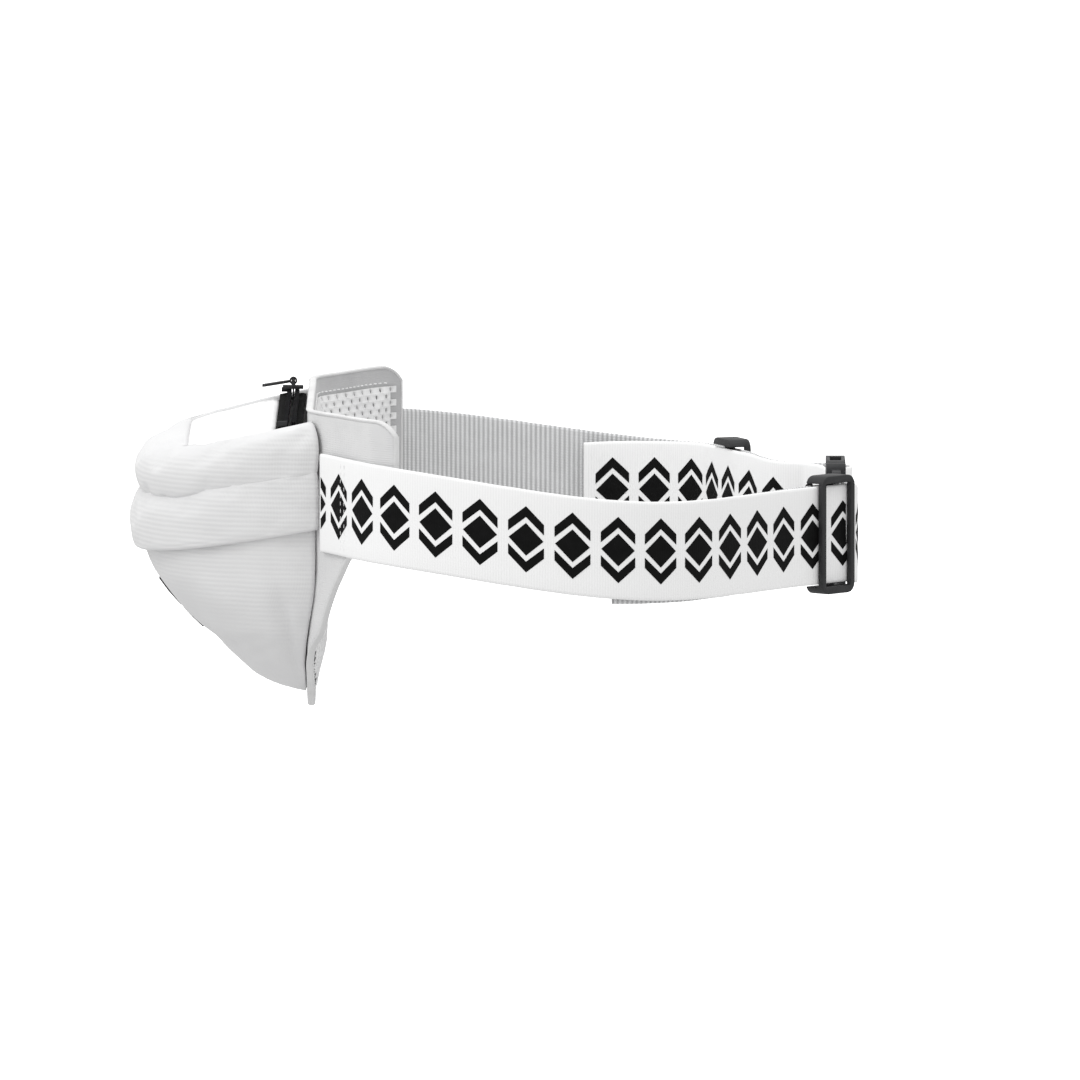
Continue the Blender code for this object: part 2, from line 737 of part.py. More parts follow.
def glide(name, middle, way, side, coll, cutters):
    """Tri-glide: end rails, two outer bars, and a centre bar between the layers."""
    t = Vector((*way, 0.0))
    out = Vector((t.y, -t.x, 0.0)) * side
    origin = Vector((*middle, 0.0))

    def at(along, off, z):
        return origin + t * along + out * off + Vector((0, 0, z))

    def block(label, a, o, z, target):
        rings = []
        for s in a:
            rings.append([at(s, o[0], z[0]), at(s, o[1], z[0]),
                          at(s, o[1], z[1]), at(s, o[0], z[1])])
        return loft(label, rings, target, origin=tuple(origin))

    length = GLIDE_HALF_LENGTH
    tall = GLIDE_HALF_HEIGHT
    outline = rounded(length, tall, 4.0)
    rings = [[at(a, o, z) for a, z in outline] for o in (-4.6, 4.6)]
    body = loft(name, rings, coll, origin=tuple(origin))
    inner = length - GLIDE_BAR
    across = (-BAR_HALF_HEIGHT, BAR_HALF_HEIGHT)
    ends = (-length - 2, length + 2)
    outer_way = block(name + "_outer_way", ends, (-0.1, 2.1), across, coll)
    combine(body, outer_way, "DIFFERENCE", cutters)
    inner_way = block(name + "_inner_way", ends, (-6.0, -2.2), across, coll)
    combine(body, inner_way, "DIFFERENCE", cutters)
    front = block(name + "_front", (-inner, inner), (1.0, 6.0), across, coll)
    combine(body, front, "DIFFERENCE", cutters)
    for k, span in enumerate(((ends[0], -GLIDE_BAR), (GLIDE_BAR, ends[1]))):
        gap = block(name + "_gap_%d" % k, span, (-3.0, 1.0), across, coll)
        combine(body, gap, "DIFFERENCE", cutters)
    charcoal_plastic(body)
    return body


def buckle_box(name, half_x, ys, half_z, coll):
    return box(name, (BUCKLE_X - half_x, BUCKLE_X + half_x), ys,
               (BUCKLE_Z - half_z, BUCKLE_Z + half_z), coll)


def buckle_socket(coll, cutters):
    """Female half, fixed to the far strap."""
    mid = 5.0
    outline = [(y + mid, z + BUCKLE_Z) for y, z in rounded(17.0, BUCKLE_HALF_HEIGHT, 4.0)]
    xs = (BUCKLE_X - BUCKLE_HALF_THICK, BUCKLE_X + BUCKLE_HALF_THICK)
    body = prism("buckle_socket", outline, xs, coll)
    frame = [(y + 27.5, z + BUCKLE_Z) for y, z in rounded(7.5, FRAME_HALF_HEIGHT, 3.0)]
    bars = prism("socket_frame", frame,
                 (BUCKLE_X - FRAME_HALF_THICK, BUCKLE_X + FRAME_HALF_THICK), coll)
    combine(body, bars, "UNION", cutters)
    cavity = buckle_box("socket_cavity", CAVITY_HALF_THICK, (-14, 16), CAVITY_HALF_HEIGHT,
                        coll)
    combine(body, cavity, "DIFFERENCE", cutters)
    windows = buckle_box("socket_windows", CAVITY_HALF_THICK, (-3.5, 13.5), 30, coll)
    combine(body, windows, "DIFFERENCE", cutters)
    slot = buckle_box("socket_slot", 8, (23.5, 31.5), BAR_HALF_HEIGHT, coll)
    combine(body, slot, "DIFFERENCE", cutters)
    charcoal_plastic(body)
    return body


def buckle_plug(coll, cutters):
    """Male half: shoulder, centre tongue and the frame for the near strap."""
    outline = [(y - 16.2, z + BUCKLE_Z) for y, z in rounded(3.8, BUCKLE_HALF_HEIGHT, 3.0)]
    xs = (BUCKLE_X - BUCKLE_HALF_THICK, BUCKLE_X + BUCKLE_HALF_THICK)
    body = prism("buckle_plug", outline, xs, coll)
    frame = [(y - 22.5, z + BUCKLE_Z) for y, z in rounded(8.5, FRAME_HALF_HEIGHT, 3.0)]
    bars = prism("plug_frame", frame,
                 (BUCKLE_X - FRAME_HALF_THICK, BUCKLE_X + FRAME_HALF_THICK), coll)
    combine(body, bars, "UNION", cutters)
    tongue = [(-14, -5.5), (8, -4.5), (13, -2.5), (13, 2.5), (8, 4.5), (-14, 5.5)]
    tongue = [(y, z + BUCKLE_Z) for y, z in tongue]
    middle = prism("plug_tongue", tongue, (BUCKLE_X - 1.9, BUCKLE_X + 1.9), coll)
    combine(body, middle, "UNION", cutters)
    slot = buckle_box("plug_slot", 8, (-27.5, -20.5), BAR_HALF_HEIGHT, coll)
    combine(body, slot, "DIFFERENCE", cutters)
    charcoal_plastic(body)
    return body


def prong(name, side, coll):
    """Sprung arm with its catch; the arm pivots where it meets the plug."""
    outline = [(-12.0, 13.4), (-12.0, 16.8), (-5.0, 18.2), (-1.6, 19.4), (-1.6, 23.6),
               (3.0, 23.9), (8.0, 22.0), (12.5, 18.0), (12.5, 15.6), (4.0, 16.4),
               (-2.0, 15.0)]
    points = [(y, z * side + BUCKLE_Z) for y, z in outline]
    origin = (BUCKLE_X, PRONG_PIVOT_Y, PRONG_PIVOT_Z * side + BUCKLE_Z)
    body = prism(name, points, (BUCKLE_X - 1.9, BUCKLE_X + 1.9), coll, origin)
    charcoal_plastic(body)
    return body


# ------------------------------------------------------------------- assembly

def attach(child, parent):
    """Parent an object and keep it where it stands."""
    bpy.context.view_layer.update()
    child.parent = parent
    child.matrix_parent_inverse = parent.matrix_world.inverted()


def main():
    clear_scene()
    coll = new_collection("waist_bag")
    cutters = new_collection("cutters")
    cutters.hide_render = True

    build_panel(coll, cutters)
    pouch_lower(coll, cutters)
    pouch_band(coll, cutters)
    pouch_top(coll, cutters)
    badge("badge_upper", -33.0, -22.0, 14.0, coll)
    badge("badge_lower", -42.0, -34.0, 14.0, coll)

    build_zip(coll)
    flap = lid(coll)
    slider = zip_slider(coll, cutters)
    pull = pull_tab(coll, cutters)
    for name in ("zip_tape_front", "zip_coil_front", "zip_stop_near", "zip_stop_far"):
        attach(bpy.data.objects[name], flap)
    attach(slider, flap)
    attach(pull, slider)

    build_straps(coll)
    bartack("bartack_near", 1, coll)
    bartack("bartack_far", -1, coll)
    glide("tri_glide_far", FAR_GLIDE, FAR_GLIDE_WAY, -1, coll, cutters)
    near_glide = glide("tri_glide_near", NEAR_GLIDE, NEAR_GLIDE_WAY, 1, coll, cutters)
    buckle_socket(coll, cutters)
    plug = buckle_plug(coll, cutters)
    attach(near_glide, plug)
    attach(prong("prong_upper", 1, coll), plug)
    attach(prong("prong_lower", -1, coll), plug)


main()
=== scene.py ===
"""Looks of a waist bag: sewn white pouch, padded back panel and a printed belt."""
import math

import bmesh
import bpy
import numpy as np
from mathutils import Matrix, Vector, noise


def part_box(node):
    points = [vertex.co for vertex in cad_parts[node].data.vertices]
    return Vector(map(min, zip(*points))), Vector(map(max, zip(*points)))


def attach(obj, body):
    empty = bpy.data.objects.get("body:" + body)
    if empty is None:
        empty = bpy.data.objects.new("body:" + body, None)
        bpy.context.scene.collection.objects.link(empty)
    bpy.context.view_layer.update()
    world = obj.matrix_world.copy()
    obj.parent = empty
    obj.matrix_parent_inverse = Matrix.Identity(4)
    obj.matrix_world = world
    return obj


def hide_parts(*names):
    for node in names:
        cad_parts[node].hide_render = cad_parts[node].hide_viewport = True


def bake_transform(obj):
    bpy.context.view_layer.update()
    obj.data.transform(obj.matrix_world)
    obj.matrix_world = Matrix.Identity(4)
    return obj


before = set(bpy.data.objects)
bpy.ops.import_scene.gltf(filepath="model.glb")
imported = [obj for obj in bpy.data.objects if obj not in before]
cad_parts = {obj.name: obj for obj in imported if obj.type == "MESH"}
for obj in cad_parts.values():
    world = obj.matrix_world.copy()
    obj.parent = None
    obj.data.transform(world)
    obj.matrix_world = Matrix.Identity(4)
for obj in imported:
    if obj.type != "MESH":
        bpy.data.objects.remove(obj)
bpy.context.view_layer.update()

MM = 0.001

# ------------------------------------------------------------- shared shape
# The same stations as the CAD, in millimetres, so pieces land on its solids.
PANEL_LINE = [(-112, 0), (-112, -20), (-112, -40), (-112, -60), (-112, -72),
              (-110.6, -82), (-106.2, -91), (-101, -100)]
WAIST_LINE = [(-89, -122), (-76, -136), (-59, -145), (-41, -150.5), (-23, -153),
              (-4, -153), (14, -149.5), (31, -142)]
NEAR_END = [(47, -131), (60, -116), (72, -99.5), (84, -83), (95.5, -70), (107, -57)]
FAR_END = [(42.5, -134.5), (51, -126), (56.24, -117.9), (59.12, -110.5), (62, -103),
           (65.24, -94.6), (69.2, -84.3), (74, -73), (81.5, -63.5), (92, -58.5)]
PANEL_LOW = [(0, -76), (12, -75.5), (25, -73), (38, -69), (50, -64), (60, -59.5),
             (72, -53), (80, -47), (88, -41), (91, -37), (93, -31), (99, -20),
             (110, -6.5), (118, -3), (128, -1), (134, 1), (139.5, 6)]
POUCH_FRONT = [(-66, -118), (-64.5, -124), (-62, -129.5), (-58, -135.3),
               (-53, -141.5), (-46, -149), (-40, -156), (-31, -164.5),
               (-25.5, -169.3), (-18.5, -174), (-9, -178), (20, -178)]
POUCH_WIDTH = [(-66, 34), (-64.5, 42), (-62, 50), (-58, 60), (-53, 68), (-46, 76),
               (-40, 80.5), (-31, 84.6), (-25.5, 86.4), (-18.5, 87.8), (-9, 88.3),
               (20, 88.3)]
PLAN_POWER_Y = 0.72
PLAN_POWER_X = 0.92
BUCKLE_X = 103.5
FOLD_RADIUS = 3.5
LAYER = 0.85
WEB_THICK = 1.4
MOTIF_PITCH = 18.6
BACK_SAG = 2.0
BEND_STEP = 1.2
NEAR_BAR_Y = -29.25
FAR_BAR_Y = -33.25
NEAR_GLIDE = (100.6, -64.23)
FAR_GLIDE = (62.0, -103.0)
GLIDE_STEP_IN = 2.35
NEAR_OUTS = [(110.6, -49.5), (111.3, -42), (109.6, -34.5)]
NEAR_INS = [(100.2, -36), (102.2, -44), (104.0, -51.5)]
FAR_OUTS = [(101.5, -54.8), (108, -49.8), (110.2, -44), (109.4, -38.5)]
FAR_INS = [(99.4, -38.5), (98.6, -44.5), (96.4, -50.8)]


def table_value(table, value):
    xs = [p[0] for p in table]
    ys = [p[1] for p in table]
    return np.interp(value, xs, ys)


def soft_table(table, value, spread):
    """Table value averaged over a few neighbours, so corners come out round."""
    steps = np.linspace(-1.5, 1.5, 7) * spread
    weights = np.exp(-(steps / spread) ** 2)
    total = sum(w * table_value(table, value + s) for s, w in zip(steps, weights))
    return total / weights.sum()


def smooth_line(stations, step):
    pts = [Vector(p) for p in stations]
    ends = [pts[0] * 2 - pts[1]] + pts + [pts[-1] * 2 - pts[-2]]
    line = []
    for k in range(1, len(ends) - 2):
        a, b, c, d = ends[k - 1:k + 3]
        parts = max(1, round((c - b).length / step))
        for j in range(parts):
            t = j / parts
            line.append(0.5 * (2 * b + (c - a) * t
                               + (2 * a - 5 * b + 4 * c - d) * t * t
                               + (3 * b - a - 3 * c + d) * t ** 3))
    line.append(pts[-1])
    return np.array([tuple(p) for p in line])


def normals_of(line):
    """Unit normals to the left of a plan line."""
    t = np.gradient(line, axis=0)
    t /= np.linalg.norm(t, axis=1)[:, None]
    return np.stack([-t[:, 1], t[:, 0]], axis=1)


def lengths_of(line):
    """Distance along a line of points, from its first point."""
    steps = np.linalg.norm(np.diff(line, axis=0), axis=1)
    return np.concatenate([[0], np.cumsum(steps)])


def belt_z(x):
    t = np.clip((45.0 - x) / 155.0, 0, 1)
    return 15.4 * (3 * t * t - 2 * t ** 3)


PANEL_HALF = smooth_line(PANEL_LINE, 1.0)


def panel_x(y):
    return np.interp(np.abs(y), -PANEL_HALF[:, 1], PANEL_HALF[:, 0])


def rough_noise(p, scale, seed=0.0):
    return noise.noise(Vector((p[0] * scale + seed, p[1] * scale, p[2] * scale)))


# --------------------------------------------------------------- materials

class Nodes:
    """Short hand for building one material's node tree."""

    def __init__(self, name, colour, rough, metallic=0.0, sheen=0.0, specular=0.5):
        self.mat = bpy.data.materials.new(name)
        self.mat.use_nodes = True
        self.tree = self.mat.node_tree
        self.shader = self.tree.nodes["Principled BSDF"]
        self.shader.inputs["Base Color"].default_value = (*colour, 1)
        self.shader.inputs["Roughness"].default_value = rough
        self.shader.inputs["Metallic"].default_value = metallic
        self.shader.inputs["Sheen Weight"].default_value = sheen
        self.shader.inputs["Specular IOR Level"].default_value = specular

    def add(self, kind, **inputs):
        node = self.tree.nodes.new("ShaderNode" + kind)
        for key, value in inputs.items():
            key = key.replace("_", " ")
            if isinstance(value, bpy.types.NodeSocket):
                self.tree.links.new(value, node.inputs[key])
            else:
                node.inputs[key].default_value = value
        return node

    def link(self, out, socket):
        self.tree.links.new(out, socket)

    def object_coords(self):
        return self.add("TexCoord").outputs["Object"]

    def attribute(self, name):
        node = self.tree.nodes.new("ShaderNodeAttribute")
        node.attribute_name = name
        return node.outputs["Fac"]

    def math(self, operation, a, b=0.0):
        node = self.tree.nodes.new("ShaderNodeMath")
        node.operation = operation
        for socket, value in zip(node.inputs, (a, b)):
            if isinstance(value, bpy.types.NodeSocket):
                self.tree.links.new(value, socket)
            else:
                socket.default_value = value
        return node.outputs[0]

    def ramp(self, factor, stops):
        node = self.tree.nodes.new("ShaderNodeValToRGB")
        self.tree.links.new(factor, node.inputs["Fac"])
        while len(node.color_ramp.elements) < len(stops):
            node.color_ramp.elements.new(0.5)
        for element, (place, colour) in zip(node.color_ramp.elements, stops):
            element.position = place
            element.color = (*colour, 1)
        return node.outputs["Color"]

    def colour(self, out):
        self.link(out, self.shader.inputs["Base Color"])

    def bump(self, height, distance, strength=1.0, before=None):
        node = self.add("Bump", Height=height, Distance=distance, Strength=strength)
        if before is not None:
            self.link(before, node.inputs["Normal"])
        self.link(node.outputs["Normal"], self.shader.inputs["Normal"])
        return node.outputs["Normal"]


def sine_of(n, value, period):
    angle = n.math("MULTIPLY", value, 2 * math.pi / period)
    return n.math("ADD", n.math("MULTIPLY", n.math("SINE", angle), 0.5), 0.5)


def ribbed_cloth(name, light, dark, period, depth, axis="Z"):
    """White cloth with fine ribs, a finer weave across them and a soft random tone; the rib
    troughs are painted darker, as painted shade.
    """
    n = Nodes(name, light, 0.9, sheen=0.08, specular=0.15)
    place = n.object_coords()
    split = n.add("SeparateXYZ", Vector=place)
    wobble = n.add("TexNoise", Vector=place, Scale=70.0, Detail=2.0).outputs["Fac"]
    level = n.math("ADD", split.outputs[axis], n.math("MULTIPLY", wobble, 0.0007))
    rib = sine_of(n, level, period)
    # On faces that look up or down, the ribs fade out, and their painted groove shade with
    # them.
    if axis == "Z":
        facing = n.add("SeparateXYZ", Vector=n.add("NewGeometry").outputs["Normal"])
        flat = n.math("MULTIPLY", facing.outputs["Z"], facing.outputs["Z"])
        steep = n.math("SUBTRACT", 1.0, n.math("MULTIPLY", flat, 2.2))
        rib = n.math("MULTIPLY", rib, n.math("MAXIMUM", steep, 0.0))
    cross = n.math("ADD", split.outputs["X"], split.outputs["Y"])
    weft = sine_of(n, cross, 0.0011)
    cloud = n.add("TexNoise", Vector=place, Scale=32.0, Detail=4.0).outputs["Fac"]
    # Colour: rib troughs painted darker (painted shade in the grooves), mixed with a random
    # cloudy tone.
    groove_shade_and_cloud = n.math("ADD", n.math("MULTIPLY", rib, 0.45), n.math("MULTIPLY", cloud, 0.55))
    n.colour(n.ramp(groove_shade_and_cloud, [(0.15, dark), (0.6, light)]))
    first = n.bump(rib, depth, 0.7)
    n.bump(n.math("ADD", weft, n.math("MULTIPLY", cloud, 2.0)), depth * 0.5, 0.5, first)
    return n.mat


def plain_cloth(name, light, dark):
    """Closely woven cloth: a small two-way weave and a soft uneven shade."""
    n = Nodes(name, light, 0.9, sheen=0.25, specular=0.2)
    place = n.object_coords()
    split = n.add("SeparateXYZ", Vector=place)
    cross = n.math("ADD", split.outputs["X"], split.outputs["Y"])
    warp = sine_of(n, cross, 0.0009)
    weft = sine_of(n, split.outputs["Z"], 0.0009)
    cloud = n.add("TexNoise", Vector=place, Scale=60.0, Detail=5.0).outputs["Fac"]
    n.colour(n.ramp(cloud, [(0.25, dark), (0.65, light)]))
    first = n.bump(n.math("MULTIPLY", warp, weft), 0.00012, 0.6)
    n.bump(cloud, 0.0009, 0.5, first)
    return n.mat


def webbing_face(name, light, dark, rib, depth):
    """Woven belt face, in the belt's own lengthways and crossways measure; its rib troughs
    and the gaps between yarns are painted darker, as painted shade.
    """
    n = Nodes(name, light, 0.8, sheen=0.1, specular=0.25)
    along = n.attribute("belt_along")
    across = n.attribute("belt_across")
    ribs = sine_of(n, along, rib)
    yarn = sine_of(n, across, 0.0011)
    blend = n.math("MULTIPLY", ribs, n.math("ADD", n.math("MULTIPLY", yarn, 0.35), 0.65))
    place = n.object_coords()
    cloud = n.add("TexNoise", Vector=place, Scale=120.0, Detail=3.0).outputs["Fac"]
    # Colour: rib troughs and yarn gaps painted darker as painted shade, plus a random
    # cloudy tone.
    shade = n.math("ADD", n.math("MULTIPLY", blend, 0.8), n.math("MULTIPLY", cloud, 0.25))
    n.colour(n.ramp(shade, [(0.1, dark), (0.7, light)]))
    n.bump(blend, depth, 0.9)
    return n.mat


def moulded(name, colour, rough, specular=0.35, grain=0.00006):
    """Moulded plastic with a fine spark-eroded grain and worn, uneven gloss."""
    n = Nodes(name, colour, rough, specular=specular)
    place = n.object_coords()
    fine = n.add("TexNoise", Vector=place, Scale=2600.0, Detail=2.0).outputs["Fac"]
    broad = n.add("TexNoise", Vector=place, Scale=130.0, Detail=4.0).outputs["Fac"]
    dark = tuple(c * 0.75 for c in colour)
    lit = tuple(c * 1.25 for c in colour)
    n.colour(n.ramp(broad, [(0.3, dark), (0.7, lit)]))
    span = n.add("MapRange", Value=broad)
    span.inputs["To Min"].default_value = rough - 0.08
    span.inputs["To Max"].default_value = rough + 0.12
    n.link(span.outputs["Result"], n.shader.inputs["Roughness"])
    n.bump(fine, grain, 0.5)
    return n.mat


def black_tape(name):
    n = Nodes(name, (0.006, 0.006, 0.006), 0.9, specular=0.05)
    place = n.object_coords()
    split = n.add("SeparateXYZ", Vector=place)
    twill = sine_of(n, n.math("ADD", split.outputs["X"], split.outputs["Y"]), 0.0008)
    n.colour(n.ramp(twill, [(0.2, (0.002, 0.002, 0.002)), (0.8, (0.007, 0.007, 0.007))]))
    n.bump(twill, 0.0001, 0.7)
    return n.mat


def ink(name):
    n = Nodes(name, (0.004, 0.004, 0.004), 0.75, specular=0.12)
    along = n.attribute("belt_along")
    ribs = sine_of(n, along, 0.0011)
    place = n.object_coords()
    cloud = n.add("TexNoise", Vector=place, Scale=300.0, Detail=3.0).outputs["Fac"]
    n.colour(n.ramp(cloud, [(0.3, (0.002, 0.002, 0.002)), (0.8, (0.005, 0.005, 0.005))]))
    n.bump(ribs, 0.00008, 0.6)
    return n.mat


def floor_paint(name):
    """Studio sweep: plain white to the eye, and a mild grey as a reflector."""
    n = Nodes(name, (0.62, 0.62, 0.62), 0.95, specular=0.0)
    rays = n.add("LightPath")
    n.shader.inputs["Emission Color"].default_value = (1, 1, 1, 1)
    n.link(rays.outputs["Is Camera Ray"], n.shader.inputs["Emission Strength"])
    return n.mat


# In the knits, the darker stop is painted shade in the rib troughs.
KNIT = ribbed_cloth("pouch_knit", (0.71, 0.71, 0.71), (0.67, 0.67, 0.675), 0.00195,
                    0.00009)
# The lid is the pouch's knit, painted lighter: painted light on the top, which faces the
# lamps.
LID_KNIT_PAINTED_LIGHT = ribbed_cloth("lid_knit_painted_light", (0.86, 0.86, 0.86), (0.82, 0.82, 0.82), 0.00195,
                        0.00009, "X")
CLOTH = plain_cloth("panel_cloth", (0.68, 0.68, 0.68), (0.62, 0.62, 0.625))
BORDER = plain_cloth("border_cloth", (0.48, 0.48, 0.485), (0.41, 0.41, 0.415))
TAPE_WHITE = plain_cloth("binding_cloth", (0.7, 0.7, 0.7), (0.6, 0.6, 0.6))
SPACER = plain_cloth("spacer_yarn", (0.8, 0.8, 0.8), (0.72, 0.72, 0.725))
# Near-black sheet under the spacer mesh: painted shade seen through the mesh's holes.
SPACER_HOLE_SHADE = plain_cloth("spacer_hole_shade", (0.13, 0.13, 0.135), (0.08, 0.08, 0.085))
# On both belt faces, the darker stop is painted shade in the rib troughs.
PRINTED = webbing_face("webbing_printed", (0.89, 0.89, 0.89), (0.85, 0.85, 0.85), 0.0011,
                       0.00006)
RIBBED = webbing_face("webbing_ribbed", (0.72, 0.725, 0.73), (0.42, 0.42, 0.425), 0.002,
                      0.0003)
INK = ink("belt_ink")
PLASTIC = moulded("charcoal_mould", (0.026, 0.0265, 0.028), 0.55, 0.25)
BADGE = moulded("badge_mould", (0.012, 0.012, 0.013), 0.5)
ZIP_TAPE = black_tape("zip_tape_weave")
ZIP_COIL = moulded("zip_coil_mould", (0.004, 0.004, 0.005), 0.7, 0.05)
THREAD = plain_cloth("white_thread", (0.9, 0.9, 0.9), (0.75, 0.75, 0.75))


# ------------------------------------------------------------ mesh building

def new_mesh(name, points, faces, mats, indices=None, smooth=True):
    mesh = bpy.data.meshes.new(name)
    mesh.from_pydata((np.asarray(points) * MM).tolist(), [], faces)
    for mat in mats:
        mesh.materials.append(mat)
    if indices is not None:
        mesh.polygons.foreach_set("material_index", indices)
    mesh.polygons.foreach_set("use_smooth", [smooth] * len(mesh.polygons))
    mesh.update()
    obj = bpy.data.objects.new(name, mesh)
    bpy.context.scene.collection.objects.link(obj)
    return obj


def outward(obj):
    """Turn a closed mesh's faces outwards."""
    bm = bmesh.new()
    bm.from_mesh(obj.data)
    bmesh.ops.recalc_face_normals(bm, faces=bm.faces)
    bm.to_mesh(obj.data)
    bm.free()
    return obj


def grid_faces(rows, cols, close_rows=False, close_cols=False):
    faces = []
    for r in range(rows if close_rows else rows - 1):
        for c in range(cols if close_cols else cols - 1):
            r2 = (r + 1) % rows
            c2 = (c + 1) % cols
            faces.append((r * cols + c, r * cols + c2, r2 * cols + c2, r2 * cols + c))
    return faces


def apply_all(obj):
    """Make the object's modified shape its own mesh."""
    deps = bpy.context.evaluated_depsgraph_get()
    mesh = bpy.data.meshes.new_from_object(obj.evaluated_get(deps))
    obj.modifiers.clear()
    old = obj.data
    obj.data = mesh
    bpy.data.meshes.remove(old)
    obj.data.polygons.foreach_set("use_smooth", [True] * len(obj.data.polygons))
    return obj


def thicken(obj, thickness, offset=-1.0):
    """Give a sheet its cloth thickness, with rolled edges."""
    mod = obj.modifiers.new("thickness", "SOLIDIFY")
    mod.thickness = thickness * MM
    mod.offset = offset
    mod.use_even_offset = False
    return apply_all(obj)


def settle(obj, pinned, grow, pressure, cap, frames=16):
    """Cloth run with held edges: pressure fills it and spare cloth wrinkles."""
    group = obj.vertex_groups.new(name="held")
    group.add([int(k) for k in pinned], 1.0, "REPLACE")
    count = len(obj.data.vertices)
    before = np.empty(count * 3)
    obj.data.vertices.foreach_get("co", before)
    mod = obj.modifiers.new("settle", "CLOTH")
    mod.settings.vertex_group_mass = "held"
    mod.settings.quality = 6
    mod.settings.mass = 0.25
    mod.settings.tension_stiffness = 12
    mod.settings.compression_stiffness = 12
    mod.settings.shear_stiffness = 6
    mod.settings.bending_stiffness = 4.0
    mod.settings.shrink_min = -grow
    mod.settings.use_pressure = True
    mod.settings.uniform_pressure_force = pressure
    mod.settings.effector_weights.gravity = 0
    mod.collision_settings.use_collision = False
    mod.point_cache.frame_start = 1
    mod.point_cache.frame_end = frames
    scene = bpy.context.scene
    for k in range(1, frames + 1):
        scene.frame_set(k)
    deps = bpy.context.evaluated_depsgraph_get()
    result = obj.evaluated_get(deps).to_mesh()
    after = np.empty(count * 3)
    result.vertices.foreach_get("co", after)
    obj.evaluated_get(deps).to_mesh_clear()
    obj.modifiers.clear()
    obj.vertex_groups.clear()
    scene.frame_set(1)
    move = (after - before).reshape(-1, 3)
    size = np.linalg.norm(move, axis=1)
    keep = np.minimum(1.0, cap * MM / np.maximum(size, 1e-9))
    obj.data.vertices.foreach_set("co", (before.reshape(-1, 3)
                                         + move * keep[:, None]).ravel())
    obj.data.update()
    return obj


def stitches(name, points, outs, mat, body, length=2.2, gap=1.2, radius=0.28):
    """Row of short raised threads along a line of points, in millimetres."""
    pts = np.asarray(points, float)
    outs = np.asarray(outs, float)
    steps = np.linalg.norm(np.diff(pts, axis=0), axis=1)
    dist = np.concatenate([[0], np.cumsum(steps)])
    starts = np.arange(gap, dist[-1] - length, length + gap)
    verts = []
    faces = []
    for s in starts:
        ends = []
        for part in (0.0, 0.2, 0.8, 1.0):
            d = s + part * length
            p = np.array([np.interp(d, dist, pts[:, k]) for k in range(3)])
            o = np.array([np.interp(d, dist, outs[:, k]) for k in range(3)])
            ends.append((p, o / np.linalg.norm(o)))
        way = ends[-1][0] - ends[0][0]
        way /= np.linalg.norm(way)
        base = len(verts)
        for (p, o), size, rise in zip(ends, (0.4, 1, 1, 0.4), (-0.6, 0.5, 0.5, -0.6)):
            side = np.cross(way, o)
            for k in range(6):
                a = math.pi * k / 3
                verts.append(p + o * radius * (rise + size * math.sin(a))
                             + side * radius * size * math.cos(a))
        for r in range(3):
            for k in range(6):
                k2 = (k + 1) % 6
                faces.append((base + r * 6 + k, base + r * 6 + k2,
                              base + r * 6 + 6 + k2, base + r * 6 + 6 + k))
        faces.append(tuple(base + k for k in range(6)))
        faces.append(tuple(base + 18 + k for k in range(6)))
    obj = outward(new_mesh(name, verts, faces, [mat]))
    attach(obj, body)
    return obj


# -------------------------------------------------------------- back panel

PANEL_END = 136.8
PANEL_FRONT = 0.35
PANEL_EDGE = 2.6
PADDING = 4.5
PADDING_REACH = 28.0
END_SLOPE = 1.25


def panel_columns(step):
    half = smooth_line(PANEL_LINE + WAIST_LINE[:3], step)
    half = half[-half[:, 1] <= PANEL_END]
    line = np.concatenate([half[:0:-1] * [1, -1], half])
    return line, normals_of(line)


def heights_at(y):
    low = soft_table(PANEL_LOW, np.abs(y), 2.0)
    end = np.clip((PANEL_END + 0.3 - np.abs(y)) / 9.0, 0, 1)
    pinch = 1 - np.sqrt(np.clip(1 - (1 - end) ** 2, 0, 1))
    return low + 1.0 + 7 * pinch, 51.2 - 11 * pinch


LINE, NORMALS = panel_columns(1.6)
LOWS, TOPS = (values.tolist() for values in heights_at(LINE[:, 1]))
COLUMNS = list(zip(LINE.tolist(), NORMALS.tolist(), LOWS, TOPS))


def panel_point(k, z, inner, lift=0.0):
    """A point on the panel's outer or inner face: thin at the edge, then padded."""
    (px, py), (nx, ny), low, top = COLUMNS[k]
    edge = max(0.0, min(z - low, top - z))
    end = max(0.0, PANEL_END - abs(py)) * END_SLOPE
    lip = 1.0
    for d in (edge, end):
        lip *= math.sqrt(max(0.0, 1 - (1 - min(1.0, d / 2.0)) ** 2))
    rise = min(1.0, min(edge, end) / PADDING_REACH)
    rise = (rise * rise * (3 - 2 * rise)) ** 1.35
    p = (px, py, z)
    soft = 0.55 * rough_noise(p, 0.045, 3.0) + 0.25 * rough_noise(p, 0.12, 9.0)
    tuck = (1 - max(0.1, lip)) * PANEL_EDGE / 2
    if inner:
        seam = border_seam(k, z)
        off = PANEL_FRONT + PANEL_EDGE + PADDING * rise - tuck + lift
        off -= (0.3 + 0.7 * rise) * math.exp(-(seam / 1.3) ** 2)
        off += soft * 0.6 * (0.3 + 0.7 * rise) * lip
    else:
        off = PANEL_FRONT + tuck - (soft - 0.3) * lip * 0.8
    return np.array([px + nx * off, py + ny * off, z])


def border_seam(k, z):
    """Distance inside the seam that joins the border to the mesh."""
    (_, y), _, low, top = COLUMNS[k]
    end = (PANEL_END - abs(y)) * END_SLOPE
    return min(top - z - 8.0, z - low - 6.0, end - 6.5)


